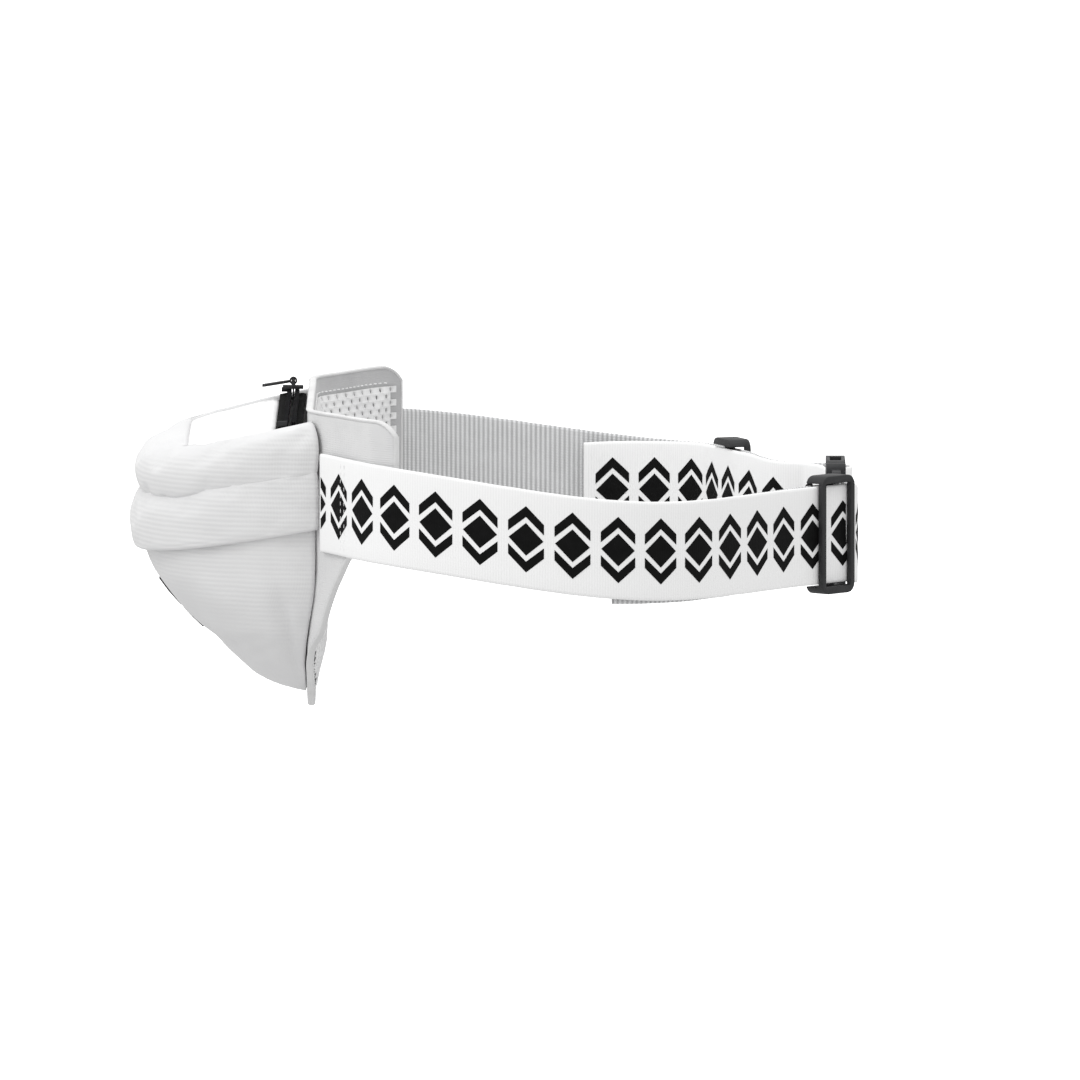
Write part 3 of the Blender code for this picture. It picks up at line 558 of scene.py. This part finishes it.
def build_panel():
    rows = 60
    share = 0.5 - 0.5 * np.cos(np.linspace(0, math.pi, rows))
    share = 0.6 * share + 0.4 * np.linspace(0, 1, rows)
    verts = []
    for k, (_, _, low, top) in enumerate(COLUMNS):
        zs = low + (top - low) * share
        verts += [panel_point(k, z, False) for z in zs]
        verts += [panel_point(k, z, True) for z in zs[::-1]]
    cols = rows * 2
    faces = grid_faces(len(COLUMNS), cols, close_cols=True)
    last = (len(COLUMNS) - 1) * cols
    faces.append(tuple(range(cols)))
    faces.append(tuple(range(last, last + cols)))
    pad = outward(new_mesh("panel_pad", verts, faces, [CLOTH, SPACER_HOLE_SHADE, BORDER]))
    # Faces inside the border seam take the near-black sheet: painted shade in the spacer
    # mesh's holes.
    kinds = []
    for poly in pad.data.polygons:
        k, c = divmod(poly.vertices[0], cols)
        z = verts[poly.vertices[0]][2]
        inside = c > rows and border_seam(k, z) > 0.8
        kinds.append(1 if inside and len(poly.vertices) == 4 else 2 * (c > rows))
    pad.data.polygons.foreach_set("material_index", kinds)
    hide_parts("back_shell", "back_foam", "inner_border")
    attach(pad, "bag")
    build_spacer()
    build_binding(LINE, NORMALS)
    panel_stitching()


def build_spacer():
    """Knitted spacer mesh: one cell with an oval hole at each staggered place."""
    dist = lengths_of(LINE)
    pitch_s = 7.2
    pitch_z = 2.76
    sides = 12
    corner = [(1, 0), (1, 1), (0.5, 1), (0, 1), (-0.5, 1), (-1, 1), (-1, 0), (-1, -1),
              (-0.5, -1), (0, -1), (0.5, -1), (1, -1)]
    verts = []
    faces = []
    for r, z0 in enumerate(np.arange(-74, 50, pitch_z)):
        for s0 in np.arange(pitch_s, dist[-1], pitch_s) + (r % 2) * pitch_s / 2:
            k = int(np.argmin(np.abs(dist - s0)))
            if border_seam(k, z0) < 0.6:
                continue
            base = len(verts)
            for ring in range(3):
                for j in range(sides):
                    a = 2 * math.pi * j / sides
                    if ring == 0:
                        u = corner[j][0] * pitch_s / 2
                        v = corner[j][1] * pitch_z / 2
                        lift = 0.45
                    else:
                        grow = 1.0 if ring == 1 else 0.86
                        u = 0.95 * math.cos(a) * grow
                        v = 1.1 * math.sin(a) * grow
                        lift = 0.62 if ring == 1 else 0.02
                    s = s0 + u
                    kk = int(np.clip(np.searchsorted(dist, s), 1, len(dist) - 1))
                    w = (s - dist[kk - 1]) / (dist[kk] - dist[kk - 1])
                    a_point = panel_point(kk - 1, z0 + v, True, lift)
                    b_point = panel_point(kk, z0 + v, True, lift)
                    verts.append(a_point * (1 - w) + b_point * w)
            for ring in range(2):
                for j in range(sides):
                    j2 = (j + 1) % sides
                    faces.append((base + ring * sides + j, base + ring * sides + j2,
                                  base + (ring + 1) * sides + j2,
                                  base + (ring + 1) * sides + j))
    sheet = new_mesh("panel_spacer_mesh", verts, faces, [SPACER])
    bm = bmesh.new()
    bm.from_mesh(sheet.data)
    bmesh.ops.remove_doubles(bm, verts=bm.verts, dist=0.00005)
    bmesh.ops.recalc_face_normals(bm, faces=bm.faces)
    bm.to_mesh(sheet.data)
    bm.free()
    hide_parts("mesh_pad")
    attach(sheet, "bag")


def build_binding(line, normals):
    """Narrow rolled tape sewn round the panel's edge."""
    path = []
    outs = []
    for side in (1, -1):
        order = range(len(line)) if side > 0 else range(len(line) - 1, -1, -1)
        for k in order:
            z = TOPS[k] if side > 0 else LOWS[k]
            middle = PANEL_FRONT + PANEL_EDGE / 2
            x = line[k, 0] + normals[k, 0] * middle
            y = line[k, 1] + normals[k, 1] * middle
            path.append((x, y, z))
            outs.append(side)
    path = np.array(path)
    ring = 8
    verts = []
    tangent = np.roll(path, -1, axis=0) - np.roll(path, 1, axis=0)
    tangent /= np.linalg.norm(tangent, axis=1)[:, None]
    count = len(line)
    for i, p in enumerate(path):
        k = i if i < count else 2 * count - 1 - i
        across = np.array([normals[k, 0], normals[k, 1], 0.0])
        up = np.cross(across, tangent[i])
        up /= np.linalg.norm(up)
        for j in range(ring):
            a = 2 * math.pi * j / ring
            verts.append(p + across * 1.55 * math.cos(a) + up * 0.8 * math.sin(a))
    faces = grid_faces(len(path), ring, close_rows=True, close_cols=True)
    tape = outward(new_mesh("panel_binding", verts, faces, [TAPE_WHITE]))
    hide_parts("edge_binding")
    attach(tape, "bag")


def panel_stitching():
    rows = {"panel_stitch_top": (-6.4, 3), "panel_stitch_low": (4.6, 2)}
    for name, (inset, edge) in rows.items():
        pts = []
        outs = []
        for k, column in enumerate(COLUMNS):
            if abs(column[0][1]) > PANEL_END - 5:
                continue
            pts.append(panel_point(k, column[edge] + inset, True))
            outs.append((*column[1], 0))
        stitches(name, pts, outs, THREAD, "bag")


# ------------------------------------------------------------------- pouch

TOP_REAR_Z = 45.5
TOP_FALL = 15.0 / 69.0
BADGE_HOLD = (-47, -29)
BADGE_HOLD_HALF = 19


def top_z(x):
    return TOP_REAR_Z - TOP_FALL * (-112.0 - x)


def band_line(x, front, rear):
    return rear + (x + 106.0) * (rear - front) / 75.0


def crease_line(x):
    """Height of the crease under the top roll; it sags a little in front."""
    return band_line(x, 13.4, 27.0) - 2.0 * np.exp(-((x + 165) / 11) ** 2)


def plan_curve(front, width, turns):
    """Front curve of the pouch in plan, at angles from -90 to 90 degrees."""
    rear = panel_x(width) - 0.3
    y = width * np.sign(turns) * np.abs(np.sin(turns)) ** PLAN_POWER_Y
    x = rear + (front - rear) * np.abs(np.cos(turns)) ** PLAN_POWER_X
    return x, y


def even_turns(count):
    """Angles that space the points evenly along the pouch's front curve."""
    fine = np.linspace(-math.pi / 2, math.pi / 2, 2001)
    x, y = plan_curve(-178.0, 88.0, fine)
    dist = np.concatenate([[0], np.cumsum(np.hypot(np.diff(x), np.diff(y)))])
    return np.interp(np.linspace(0, dist[-1], count), dist, fine)


TURNS = even_turns(131)


def crease(value, middle, width):
    return math.exp(-((value - middle) / width) ** 2)


def pouch_folds(p, side):
    """How far the cloth dips or swells at a point, in millimetres."""
    x, y, z = p
    soft = 0.9 * rough_noise(p, 0.035, 1.0) + 0.45 * rough_noise(p, 0.09, 5.0)
    near = 1.0 if abs(y) > 55 else 0.35
    fold = -1.5 * crease(x + 0.25 * z, -128.0, 3.2) * crease(z, -38, 20) * near
    fold += 0.9 * crease(x + 0.25 * z, -135.0, 4.5) * crease(z, -40, 20) * near
    fold -= 0.9 * crease(z - 0.35 * x, 4.0, 2.4) * crease(x, -140, 14) * near
    fold -= 0.8 * crease(z - 0.5 * x, 18.0, 2.0) * crease(x, -131, 9) * near
    fold += 0.7 * crease(z, -62, 5) * rough_noise(p, 0.16, 7.0)
    return soft + fold * side


def build_lower():
    """Wedge-shaped body of the pouch, down to its seam on the back panel."""
    levels = list(np.linspace(12, -58, 40)) + list(np.linspace(-59, -66, 8))
    verts = []
    for z in levels:
        front = soft_table(POUCH_FRONT, z, 1.5)
        width = soft_table(POUCH_WIDTH, z, 1.5)
        x, y = plan_curve(front, width, TURNS)
        verts += [(a, b, z) for a, b in zip(x, y)]
    for share, drop in ((0.5, 1.2), (1.0, 1.6)):
        for a, b in zip(x, y):
            rear = panel_x(b) - 0.4
            verts.append((a + (rear - a) * share, b * (1 - 0.05 * share), -66 - drop * 0.6))
    rows = len(levels) + 2
    cols = len(TURNS)
    grid = np.array(verts).reshape(rows, cols, 3)
    outs = sheet_normals(grid)
    for r in range(1, rows - 2):
        for c in range(1, cols - 1):
            hold = min(1.0, min(r, rows - 2 - r, c, cols - 1 - c) / 6.0)
            grid[r, c] += outs[r, c] * pouch_folds(grid[r, c], 1.0) * hold
    body = new_mesh("pouch_body", grid.reshape(-1, 3), grid_faces(rows, cols), [KNIT])
    held = [k for k in range(rows * cols)
            if k // cols in (0, 1, rows - 2, rows - 1) or k % cols in (0, cols - 1)]
    held += [k for k, (x, y, z) in enumerate(grid.reshape(-1, 3))
             if x < -118 and abs(y) < BADGE_HOLD_HALF and BADGE_HOLD[0] < z < BADGE_HOLD[1]]
    settle(body, held, grow=0.006, pressure=0.9, cap=1.0)
    thicken(body, 2.0)
    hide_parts("pouch_lower")
    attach(body, "bag")
    return body


def sheet_normals(grid):
    """Unit normals of a grid of points, away from the pouch's inside."""
    across = np.gradient(grid, axis=1)
    down = np.gradient(grid, axis=0)
    out = np.cross(down, across)
    size = np.linalg.norm(out, axis=2)[:, :, None]
    out = out / np.maximum(size, 1e-9)
    middle = grid - np.array([-125.0, 0.0, 0.0])
    flip = np.sign((out * middle).sum(axis=2))[:, :, None]
    return out * np.where(flip == 0, 1, flip)


def ease_crease(x, y, width, most):
    """Let the crease under the top run out towards the back panel."""
    share = np.clip((x + 168.0) / 42.0, 0, 1)
    share = most * share * share * (3 - 2 * share)
    return y * (1 + share * max(0.0, 90.9 - width) / width)


def build_band():
    """Upper band: a folded hem below, then up to the crease under the top."""
    rows = [(0.24, -179.4, 89.6), (0.10, -179.6, 89.7), (0.02, -180.2, 90.0),
            (-0.01, -181.2, 90.6), (0.01, -182.0, 91.0), (0.05, -182.3, 91.1),
            (0.12, -182.4, 91.1), (0.22, -182.7, 91.1), (0.34, -183.0, 91.2),
            (0.46, -183.1, 91.2), (0.58, -183.0, 91.2), (0.70, -182.7, 91.0),
            (0.78, -182.2, 91.0), (0.88, -181.4, 90.7), (0.96, -180.1, 90.2),
            (1.03, -178.4, 89.5)]
    rows = refine_rows(rows, 3)
    verts = []
    for u, front, width in rows:
        x, y = plan_curve(front, width, TURNS)
        if u > 0.6:
            y = ease_crease(x, y, width, 0.85)
        low = band_line(x, -8.3, 5.2)
        top = crease_line(x)
        z = low + u * (top - low)
        verts += list(zip(x, y, z))
    count = len(rows)
    cols = len(TURNS)
    grid = np.array(verts).reshape(count, cols, 3)
    outs = sheet_normals(grid)
    for r in range(count):
        hold = min(1.0, max(0, r - 9) / 10.0) * min(1.0, (count - 1 - r) / 6.0)
        for c in range(cols):
            p = grid[r, c]
            soft = 0.8 * rough_noise(p, 0.04, 2.0) + 0.3 * rough_noise(p, 0.11, 6.0)
            grid[r, c] += outs[r, c] * soft * hold
    band = new_mesh("pouch_band_cloth", grid.reshape(-1, 3), grid_faces(count, cols),
                    [KNIT])
    held = [k for k in range(count * cols)
            if k // cols < 16 or k // cols > count - 4 or k % cols in (0, cols - 1)]
    settle(band, held, grow=0.004, pressure=0.7, cap=0.5)
    thicken(band, 0.9)
    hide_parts("pouch_band")
    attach(band, "bag")
    pts = grid[19]
    stitches("band_hem_stitch", pts, outs[19], THREAD, "bag", 2.0, 1.3, 0.22)


def refine_rows(rows, parts):
    """More rows between the given ones, on a smooth curve."""
    table = np.array(rows)
    spots = np.arange(len(table))
    fine = np.linspace(0, len(table) - 1, (len(table) - 1) * parts + 1)
    cols = []
    for k in range(table.shape[1]):
        values = np.interp(fine, spots, table[:, k])
        kernel = np.array([0.25, 0.5, 0.25])
        inner = np.convolve(values, kernel, mode="valid")
        cols.append(np.concatenate([[values[0]], inner, [values[-1]]]))
    return list(zip(*cols))


LID_FRONT = -160.9
LID_REAR = -124.3


def lid_half(x, spare=0.0):
    rear = panel_x(90.6) - 0.3
    c = np.clip((x - rear) / (-180.8 - rear), 0, 1) ** (1 / PLAN_POWER_X)
    outline = 90.6 * np.sqrt(1 - c * c) ** PLAN_POWER_Y
    return np.minimum(80.4, outline - 7.0) - spare


def window_edge(x, y):
    """Move a point of the pouch's rim onto the edge of the lid's window."""
    x_in = np.maximum(x, LID_FRONT)
    half = lid_half(np.maximum(x_in, -160.0))
    return x_in, np.clip(y, -half, half)


def build_top():
    """Padded roll round the top, from the crease to the lid's window."""
    rows = [(-0.02, -178.0, 89.3), (0.03, -179.0, 89.9), (0.11, -180.1, 90.4),
            (0.25, -180.8, 90.8), (0.42, -181.1, 91.0), (0.58, -180.9, 90.9),
            (0.74, -180.0, 90.2), (0.87, -178.4, 89.2), (0.96, -175.8, 87.8),
            (1.0, -172.8, 86.4)]
    rows = refine_rows(rows, 3)
    verts = []
    for u, front, width in rows:
        x, y = plan_curve(front, width, TURNS)
        if u < 0.4:
            y = ease_crease(x, y, width, 0.7)
        base = crease_line(x) + 0.3
        z = base + u * (top_z(x) - base)
        verts += list(zip(x, y, z))
    edge_x, edge_y = window_edge(x, y)
    for share in (0.3, 0.6, 0.9, 1.0):
        xs = x + (edge_x - x) * share
        ys = y + (edge_y - y) * share
        verts += list(zip(xs, ys, top_z(xs) + 0.25 * math.sin(math.pi * share)))
    verts += list(zip(edge_x, edge_y, top_z(edge_x) - 1.2))
    verts += list(zip(edge_x, edge_y, top_z(edge_x) - 2.4))
    count = len(rows) + 6
    cols = len(TURNS)
    grid = np.array(verts).reshape(count, cols, 3)
    outs = sheet_normals(grid)
    for r in range(count - 3):
        hold = min(1.0, r / 5.0) * min(1.0, (count - 3 - r) / 5.0)
        for c in range(cols):
            p = grid[r, c]
            soft = 1.0 * rough_noise(p, 0.035, 4.0) + 0.5 * rough_noise(p, 0.1, 8.0)
            grid[r, c] += outs[r, c] * soft * hold
    roll = new_mesh("pouch_top_roll", grid.reshape(-1, 3), grid_faces(count, cols), [KNIT])
    held = [k for k in range(count * cols)
            if k // cols < 3 or k // cols > count - 7 or k % cols in (0, cols - 1)]
    settle(roll, held, grow=0.006, pressure=1.0, cap=0.7)
    thicken(roll, 0.9)
    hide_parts("pouch_top")
    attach(roll, "bag")


def build_lid():
    """Lid cloth: sewn to the top along its fold, free along the zip."""
    xs = np.linspace(LID_FRONT + 0.2, LID_REAR, 33)
    shares = np.linspace(-1, 1, 97)
    verts = []
    for side in (1, -1):
        for x in xs:
            half = lid_half(max(x, -160.0), 0.5)
            d_x = min(x - xs[0] + 2.0, xs[-1] - x)
            for s in shares:
                edge = min(d_x, half * (1 - abs(s)))
                round_off = math.sqrt(max(0.0, 1 - (1 - min(1.0, edge / 3.0)) ** 2))
                p = (x, half * s, top_z(x))
                soft = 0.5 * rough_noise(p, 0.05, 11.0) * round_off
                mid = top_z(x) - 1.4
                z = mid + side * 1.3 * max(0.15, round_off) + max(0, side) * soft
                verts.append((x, half * s, z))
    rows = len(xs)
    cols = len(shares)
    size = rows * cols
    faces = grid_faces(rows, cols)
    faces += [tuple(size + k for k in reversed(f)) for f in grid_faces(rows, cols)]
    rim = list(range(cols))
    rim += [r * cols + cols - 1 for r in range(1, rows)]
    rim += [(rows - 1) * cols + c for c in range(cols - 2, -1, -1)]
    rim += [r * cols for r in range(rows - 2, 0, -1)]
    for a, b in zip(rim, rim[1:] + rim[:1]):
        faces.append((a, b, size + b, size + a))
    # The lid's knit is painted lighter than the pouch's: painted light on the top.
    cloth = outward(new_mesh("lid_cloth", verts, faces, [LID_KNIT_PAINTED_LIGHT]))
    held = [k for k in range(2 * size)
            if (k % size) // cols < 2 or (k % size) // cols > rows - 3
            or k % cols < 2 or k % cols > cols - 3]
    settle(cloth, held, grow=0.003, pressure=0.8, cap=0.4)
    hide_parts("lid")
    z = top_z(-158.2) * MM
    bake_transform(cloth)


# --------------------------------------------------------------------- belt

def arc_round_bar(bar_y, steps=16):
    turns = np.linspace(0, math.pi, steps)
    return np.stack([BUCKLE_X + FOLD_RADIUS * np.cos(turns),
                     bar_y + FOLD_RADIUS * np.sin(turns)], axis=1)


def belt_path(end_line, bar_y, outs, ins, glide, free_x, end_x, spread, droop, sag):
    """The whole run of one strap: plan points and the height of its middle."""
    run = smooth_line(PANEL_LINE[-2:] + WAIST_LINE + end_line, 1.4)
    run = run[(run[:, 0] > 0) | (-run[:, 1] >= 92.5)]
    outer = run - normals_of(run) * LAYER
    back = run[::-1]
    back = back[back[:, 0] >= end_x]
    share = np.maximum(0.0, (free_x - back[:, 0]) / (free_x - end_x)) ** 2
    reach = np.clip((np.linalg.norm(back - np.array(glide), axis=1) - 15) / 12, 0, 1)
    step_in = GLIDE_STEP_IN * (1 - reach * reach * (3 - 2 * reach))
    offset = LAYER + np.maximum(step_in, spread * share)
    tail = back - normals_of(back) * offset[:, None]
    arc = arc_round_bar(bar_y)
    lead = smooth_line([tuple(outer[-3]), tuple(outer[-1])] + outs + [tuple(arc[0])],
                       BEND_STEP)
    follow = smooth_line([tuple(arc[-1])] + ins + [tuple(tail[0]), tuple(tail[2])],
                         BEND_STEP)
    line = np.concatenate([outer[:-3], lead, arc[1:-1], follow, tail[3:]])
    sink = np.zeros(len(line))
    sink[-len(tail) + 3:] = share[3:] * droop
    keep = np.concatenate([[True], np.linalg.norm(np.diff(line, axis=0), axis=1) > 0.05])
    line = line[keep]
    low = np.clip((sag[0] - np.abs(line[:, 1])) / (sag[0] - sag[1]), 0, 1)
    low = BACK_SAG * low * low * (3 - 2 * low)
    return line, belt_z(line[:, 0]) - sink[keep] - low


def belt_attributes(obj, along, across):
    for name, values in (("belt_along", along), ("belt_across", across)):
        attr = obj.data.attributes.new(name, "FLOAT", "POINT")
        attr.data.foreach_set("value", np.asarray(values, np.float32))


def build_ribbon(name, line, mids, mirror):
    normals = normals_of(line)
    dist = lengths_of(line)
    hs = [-20, -19.6, -18.6, -14, -7, 0, 7, 14, 18.6, 19.6, 20]
    loop = [(h, -1) for h in hs] + [(h, 1) for h in reversed(hs[1:-1])]
    half = WEB_THICK / 2
    verts = []
    along = []
    across = []
    for p, n, mid, d in zip(line, normals, mids, dist):
        for h, side in loop:
            slim = 0.45 if abs(h) == 20 else 0.8 if abs(h) > 19 else 1.0
            off = 0.0 if abs(h) == 20 else side * half * slim
            ripple = 0.12 * noise.noise(Vector((d * 0.05, h * 0.05, 3.3)))
            off += ripple
            rise = 0.1 * noise.noise(Vector((d * 0.09, 5.0, 0.0)))
            verts.append((p[0] + n[0] * off, (p[1] + n[1] * off) * mirror,
                          mid + h + rise))
            along.append(d * MM)
            across.append(h * MM)
    cols = len(loop)
    faces = grid_faces(len(line), cols, close_cols=True)
    faces.append(tuple(range(cols)))
    last = (len(line) - 1) * cols
    faces.append(tuple(range(last, last + cols)))
    kinds = []
    for f in faces:
        c = f[0] % cols
        kinds.append(0 if c < len(hs) - 1 else 1)
    kinds[-2:] = [0, 0]
    ribbon = outward(new_mesh(name, verts, faces, [PRINTED, RIBBED], kinds))
    belt_attributes(ribbon, along, across)
    return ribbon


# One printed motif: plain lozenges and bars, as (along, across) outlines.
MOTIF = [
    [(-7.0, 0), (0, -6.6), (7.0, 0), (0, 6.6)],
    [(-7.2, 2.6), (-7.2, 6.8), (0, 13.4), (0, 9.0)],
    [(0, 9.0), (0, 13.4), (7.2, 6.8), (7.2, 2.6)],
    [(-7.2, -6.8), (-7.2, -2.6), (0, -9.0), (0, -13.4)],
    [(0, -13.4), (0, -9.0), (7.2, -2.6), (7.2, -6.8)],
]


def clip_outline(outline, low, high):
    """The part of an outline between two lengthways cuts."""
    for limit, sign in ((low, 1), (high, -1)):
        kept = []
        for a, b in zip(outline, outline[1:] + outline[:1]):
            da = (a[0] - limit) * sign
            db = (b[0] - limit) * sign
            if da >= 0:
                kept.append(a)
            if (da >= 0) != (db >= 0):
                t = da / (da - db)
                kept.append((a[0] + (b[0] - a[0]) * t, a[1] + (b[1] - a[1]) * t))
        outline = kept
    return outline


def build_print(name, line, mids, mirror, avoid, first):
    """Raised ink motifs on the printed face, one every pitch."""
    normals = normals_of(line)
    dist = lengths_of(line)
    verts = []
    faces = []
    along = []
    lift = WEB_THICK / 2 + 0.09
    for s0 in np.arange(first, dist[-1] - 8.0, MOTIF_PITCH):
        if any(a < s0 < b for a, b in avoid):
            continue
        for outline in MOTIF:
            for cut in np.arange(-7.5, 7.5, 1.5):
                part = clip_outline(outline, cut, cut + 1.5)
                if len(part) < 3 or s0 + cut < 0.4:
                    continue
                base = len(verts)
                for u, h in part:
                    d = s0 + u
                    x, y = (np.interp(d, dist, line[:, k]) for k in (0, 1))
                    nx, ny = (np.interp(d, dist, normals[:, k]) for k in (0, 1))
                    z = np.interp(d, dist, mids) + h
                    verts.append((x - nx * lift, (y - ny * lift) * mirror, z))
                    along.append(d * MM)
                faces.append(tuple(range(base, len(verts))))
    obj = new_mesh(name, verts, faces, [INK], smooth=False)
    belt_attributes(obj, along, [0.0] * len(verts))
    outward_face(obj, mirror)
    return obj


def outward_face(obj, mirror):
    if mirror < 0:
        obj.data.flip_normals()


def build_belt():
    near, near_z = belt_path(NEAR_END, NEAR_BAR_Y, NEAR_OUTS, NEAR_INS, NEAR_GLIDE,
                             free_x=88, end_x=12, spread=2.5, droop=2.5, sag=(56, 41))
    far, far_z = belt_path(FAR_END, FAR_BAR_Y, FAR_OUTS, FAR_INS, FAR_GLIDE,
                           free_x=55, end_x=1, spread=4.0, droop=5.0, sag=(88, 58))
    ribbon = build_ribbon("belt_near", near, near_z, 1)
    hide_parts("strap_near")
    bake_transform(ribbon)
    marks = build_print("belt_near_print", near, near_z, 1, fold_stretch(near), -2.0)
    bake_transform(marks)
    ribbon = build_ribbon("belt_far", far, far_z, -1)
    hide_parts("strap_far")
    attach(ribbon, "bag")
    marks = build_print("belt_far_print", far, far_z, -1, fold_stretch(far), 7.7)
    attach(marks, "bag")
    for name, node, side in (("bartack_near_stitch", "bartack_near", 1),
                             ("bartack_far_stitch", "bartack_far", -1)):
        tack(name, node, near, side)


def fold_stretch(line):
    """Stretch of the strap that turns round the buckle bar."""
    dist = lengths_of(line)
    turning = (line[:, 1] > -36) & (line[:, 0] > 90)
    return [(dist[turning].min() - 5, dist[turning].max() + 5)]


def tack(name, node, line, side):
    """Two close rows of stitching down the strap where it joins the wing."""
    spots = [int(np.argmin(np.abs(line[:200, 0] - x))) for x in (-96.9, -95.4)]
    normals = normals_of(line)
    rows = []
    for spot in spots:
        p = line[spot] - normals[spot] * (WEB_THICK / 2 + 0.02)
        mid = belt_z(line[spot, 0])
        zs = np.linspace(mid - 18.5, mid + 18.5, 30)
        pts = [(p[0], p[1] * side, z) for z in zs]
        outs = [(-normals[spot, 0], -normals[spot, 1] * side, 0)] * len(pts)
        rows.append((pts, outs))
    obj = stitches(name, rows[0][0], rows[0][1], THREAD, "bag", 2.0, 1.0, 0.14)
    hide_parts(node)
    stitches(name + "_b", rows[1][0], rows[1][1], THREAD, "bag", 2.0, 1.0, 0.14)


# --------------------------------------------------------- hardware and zip

def refine(node, body, mat, width=0.5, segments=2):
    """Moulded version of a CAD solid: the same shape with round edges."""
    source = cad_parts[node]
    obj = source.copy()
    obj.data = source.data.copy()
    obj.name = node + "_moulded"
    obj.parent = None
    obj.hide_render = False
    obj.hide_viewport = False
    bpy.context.scene.collection.objects.link(obj)
    obj.data.materials.clear()
    obj.data.materials.append(mat)
    bm = bmesh.new()
    bm.from_mesh(obj.data)
    bmesh.ops.remove_doubles(bm, verts=bm.verts, dist=0.000005)
    bmesh.ops.dissolve_limit(bm, angle_limit=math.radians(2), verts=bm.verts,
                             edges=bm.edges)
    bm.to_mesh(obj.data)
    bm.free()
    mod = obj.modifiers.new("round", "BEVEL")
    mod.width = width * MM
    mod.segments = segments
    mod.limit_method = "ANGLE"
    mod.angle_limit = math.radians(35)
    mod.use_clamp_overlap = True
    apply_all(obj)
    for key in list(obj.keys()):
        if key.startswith("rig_"):
            del obj[key]
    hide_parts(node)
    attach(obj, body)
    return obj


def build_zip():
    for node, body, way in (("zip_tape_front", "lid", 1), ("zip_tape_rear", "bag", -1)):
        low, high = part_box(node)
        xs = np.linspace(low[0], high[0], 9) / MM
        ys = np.linspace(low[1], high[1], 81) / MM
        verts = []
        for x in xs:
            for y in ys:
                near_coil = (x - xs[0]) / (xs[-1] - xs[0])
                if way < 0:
                    near_coil = 1 - near_coil
                sag = -0.35 * (1 - near_coil) ** 2 + 0.12 * math.sin(y * 0.11 + x)
                verts.append((x, y, high[2] / MM - 0.15 + sag))
        tape = new_mesh(node + "_cloth", verts, grid_faces(9, 81), [ZIP_TAPE])
        thicken(tape, 0.5, 1.0)
        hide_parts(node)
        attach(tape, body)
    for node in ("zip_coil_front", "zip_coil_rear"):
        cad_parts[node].data.materials.clear()
        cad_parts[node].data.materials.append(ZIP_COIL)
    refine("zip_stop_near", "lid", PLASTIC, 0.2)
    refine("zip_stop_far", "lid", PLASTIC, 0.2)
    refine("zip_slider", "slider", PLASTIC, 0.25)
    refine("pull_tab", "puller", PLASTIC, 0.25)


def build_hardware():
    refine("tri_glide_near", "glide_near", PLASTIC, 0.6)
    refine("tri_glide_far", "glide_far", PLASTIC, 0.6)
    refine("buckle_socket", "bag", PLASTIC, 0.6, 3)
    refine("buckle_plug", "plug", PLASTIC, 0.5)
    refine("prong_upper", "prong_top", PLASTIC, 0.4)
    refine("prong_lower", "prong_bottom", PLASTIC, 0.4)
    refine("badge_upper", "bag", BADGE, 0.25)
    refine("badge_lower", "bag", BADGE, 0.25)


# ------------------------------------------------------------ stage, camera

def build_stage():
    half = 9.0 / MM
    z = -0.42 / MM
    corners = [(-half, -half, z), (half, -half, z), (half, half, z), (-half, half, z)]
    floor = new_mesh("floor", corners, [(0, 1, 2, 3)], [floor_paint("floor_paint")])
    world = bpy.data.worlds.new("studio")
    world.use_nodes = True
    back = world.node_tree.nodes["Background"]
    back.inputs["Color"].default_value = (1, 1, 1, 1)
    back.inputs["Strength"].default_value = 1.0
    bpy.context.scene.world = world
    bpy.context.scene.view_settings.view_transform = "Standard"
    area_light("key", (-1.6, -1.0, 2.0), 1.2, 18)
    area_light("top", (0.0, 0.0, 2.4), 1.2, 14)


def area_light(name, place, size, power):
    light = bpy.data.lights.new(name, "AREA")
    light.size = size
    light.energy = power
    obj = bpy.data.objects.new(name, light)
    obj.location = place
    obj.rotation_euler = (-Vector(place)).to_track_quat("-Z", "Y").to_euler()
    bpy.context.scene.collection.objects.link(obj)


def build_camera():
    """Long lens at the wearer's left, a little above the belt."""
    lens = 800.0
    frame_width = 0.4408
    rise = math.radians(5.36)
    aim = Vector((-0.01714, 0.0, -0.00853))
    distance = frame_width * lens / 36.0
    data = bpy.data.cameras.new("camera")
    data.lens = lens
    data.sensor_width = 36.0
    data.clip_end = 60.0
    cam = bpy.data.objects.new("camera", data)
    away = Vector((0, -math.cos(rise), math.sin(rise)))
    cam.location = aim + away * distance
    cam.rotation_euler = (-away).to_track_quat("-Z", "Y").to_euler()
    bpy.context.scene.collection.objects.link(cam)
    bpy.context.scene.camera = cam


build_camera()
build_stage()
build_panel()
build_lower()
build_band()
build_top()
build_lid()
build_belt()
build_zip()
build_hardware()
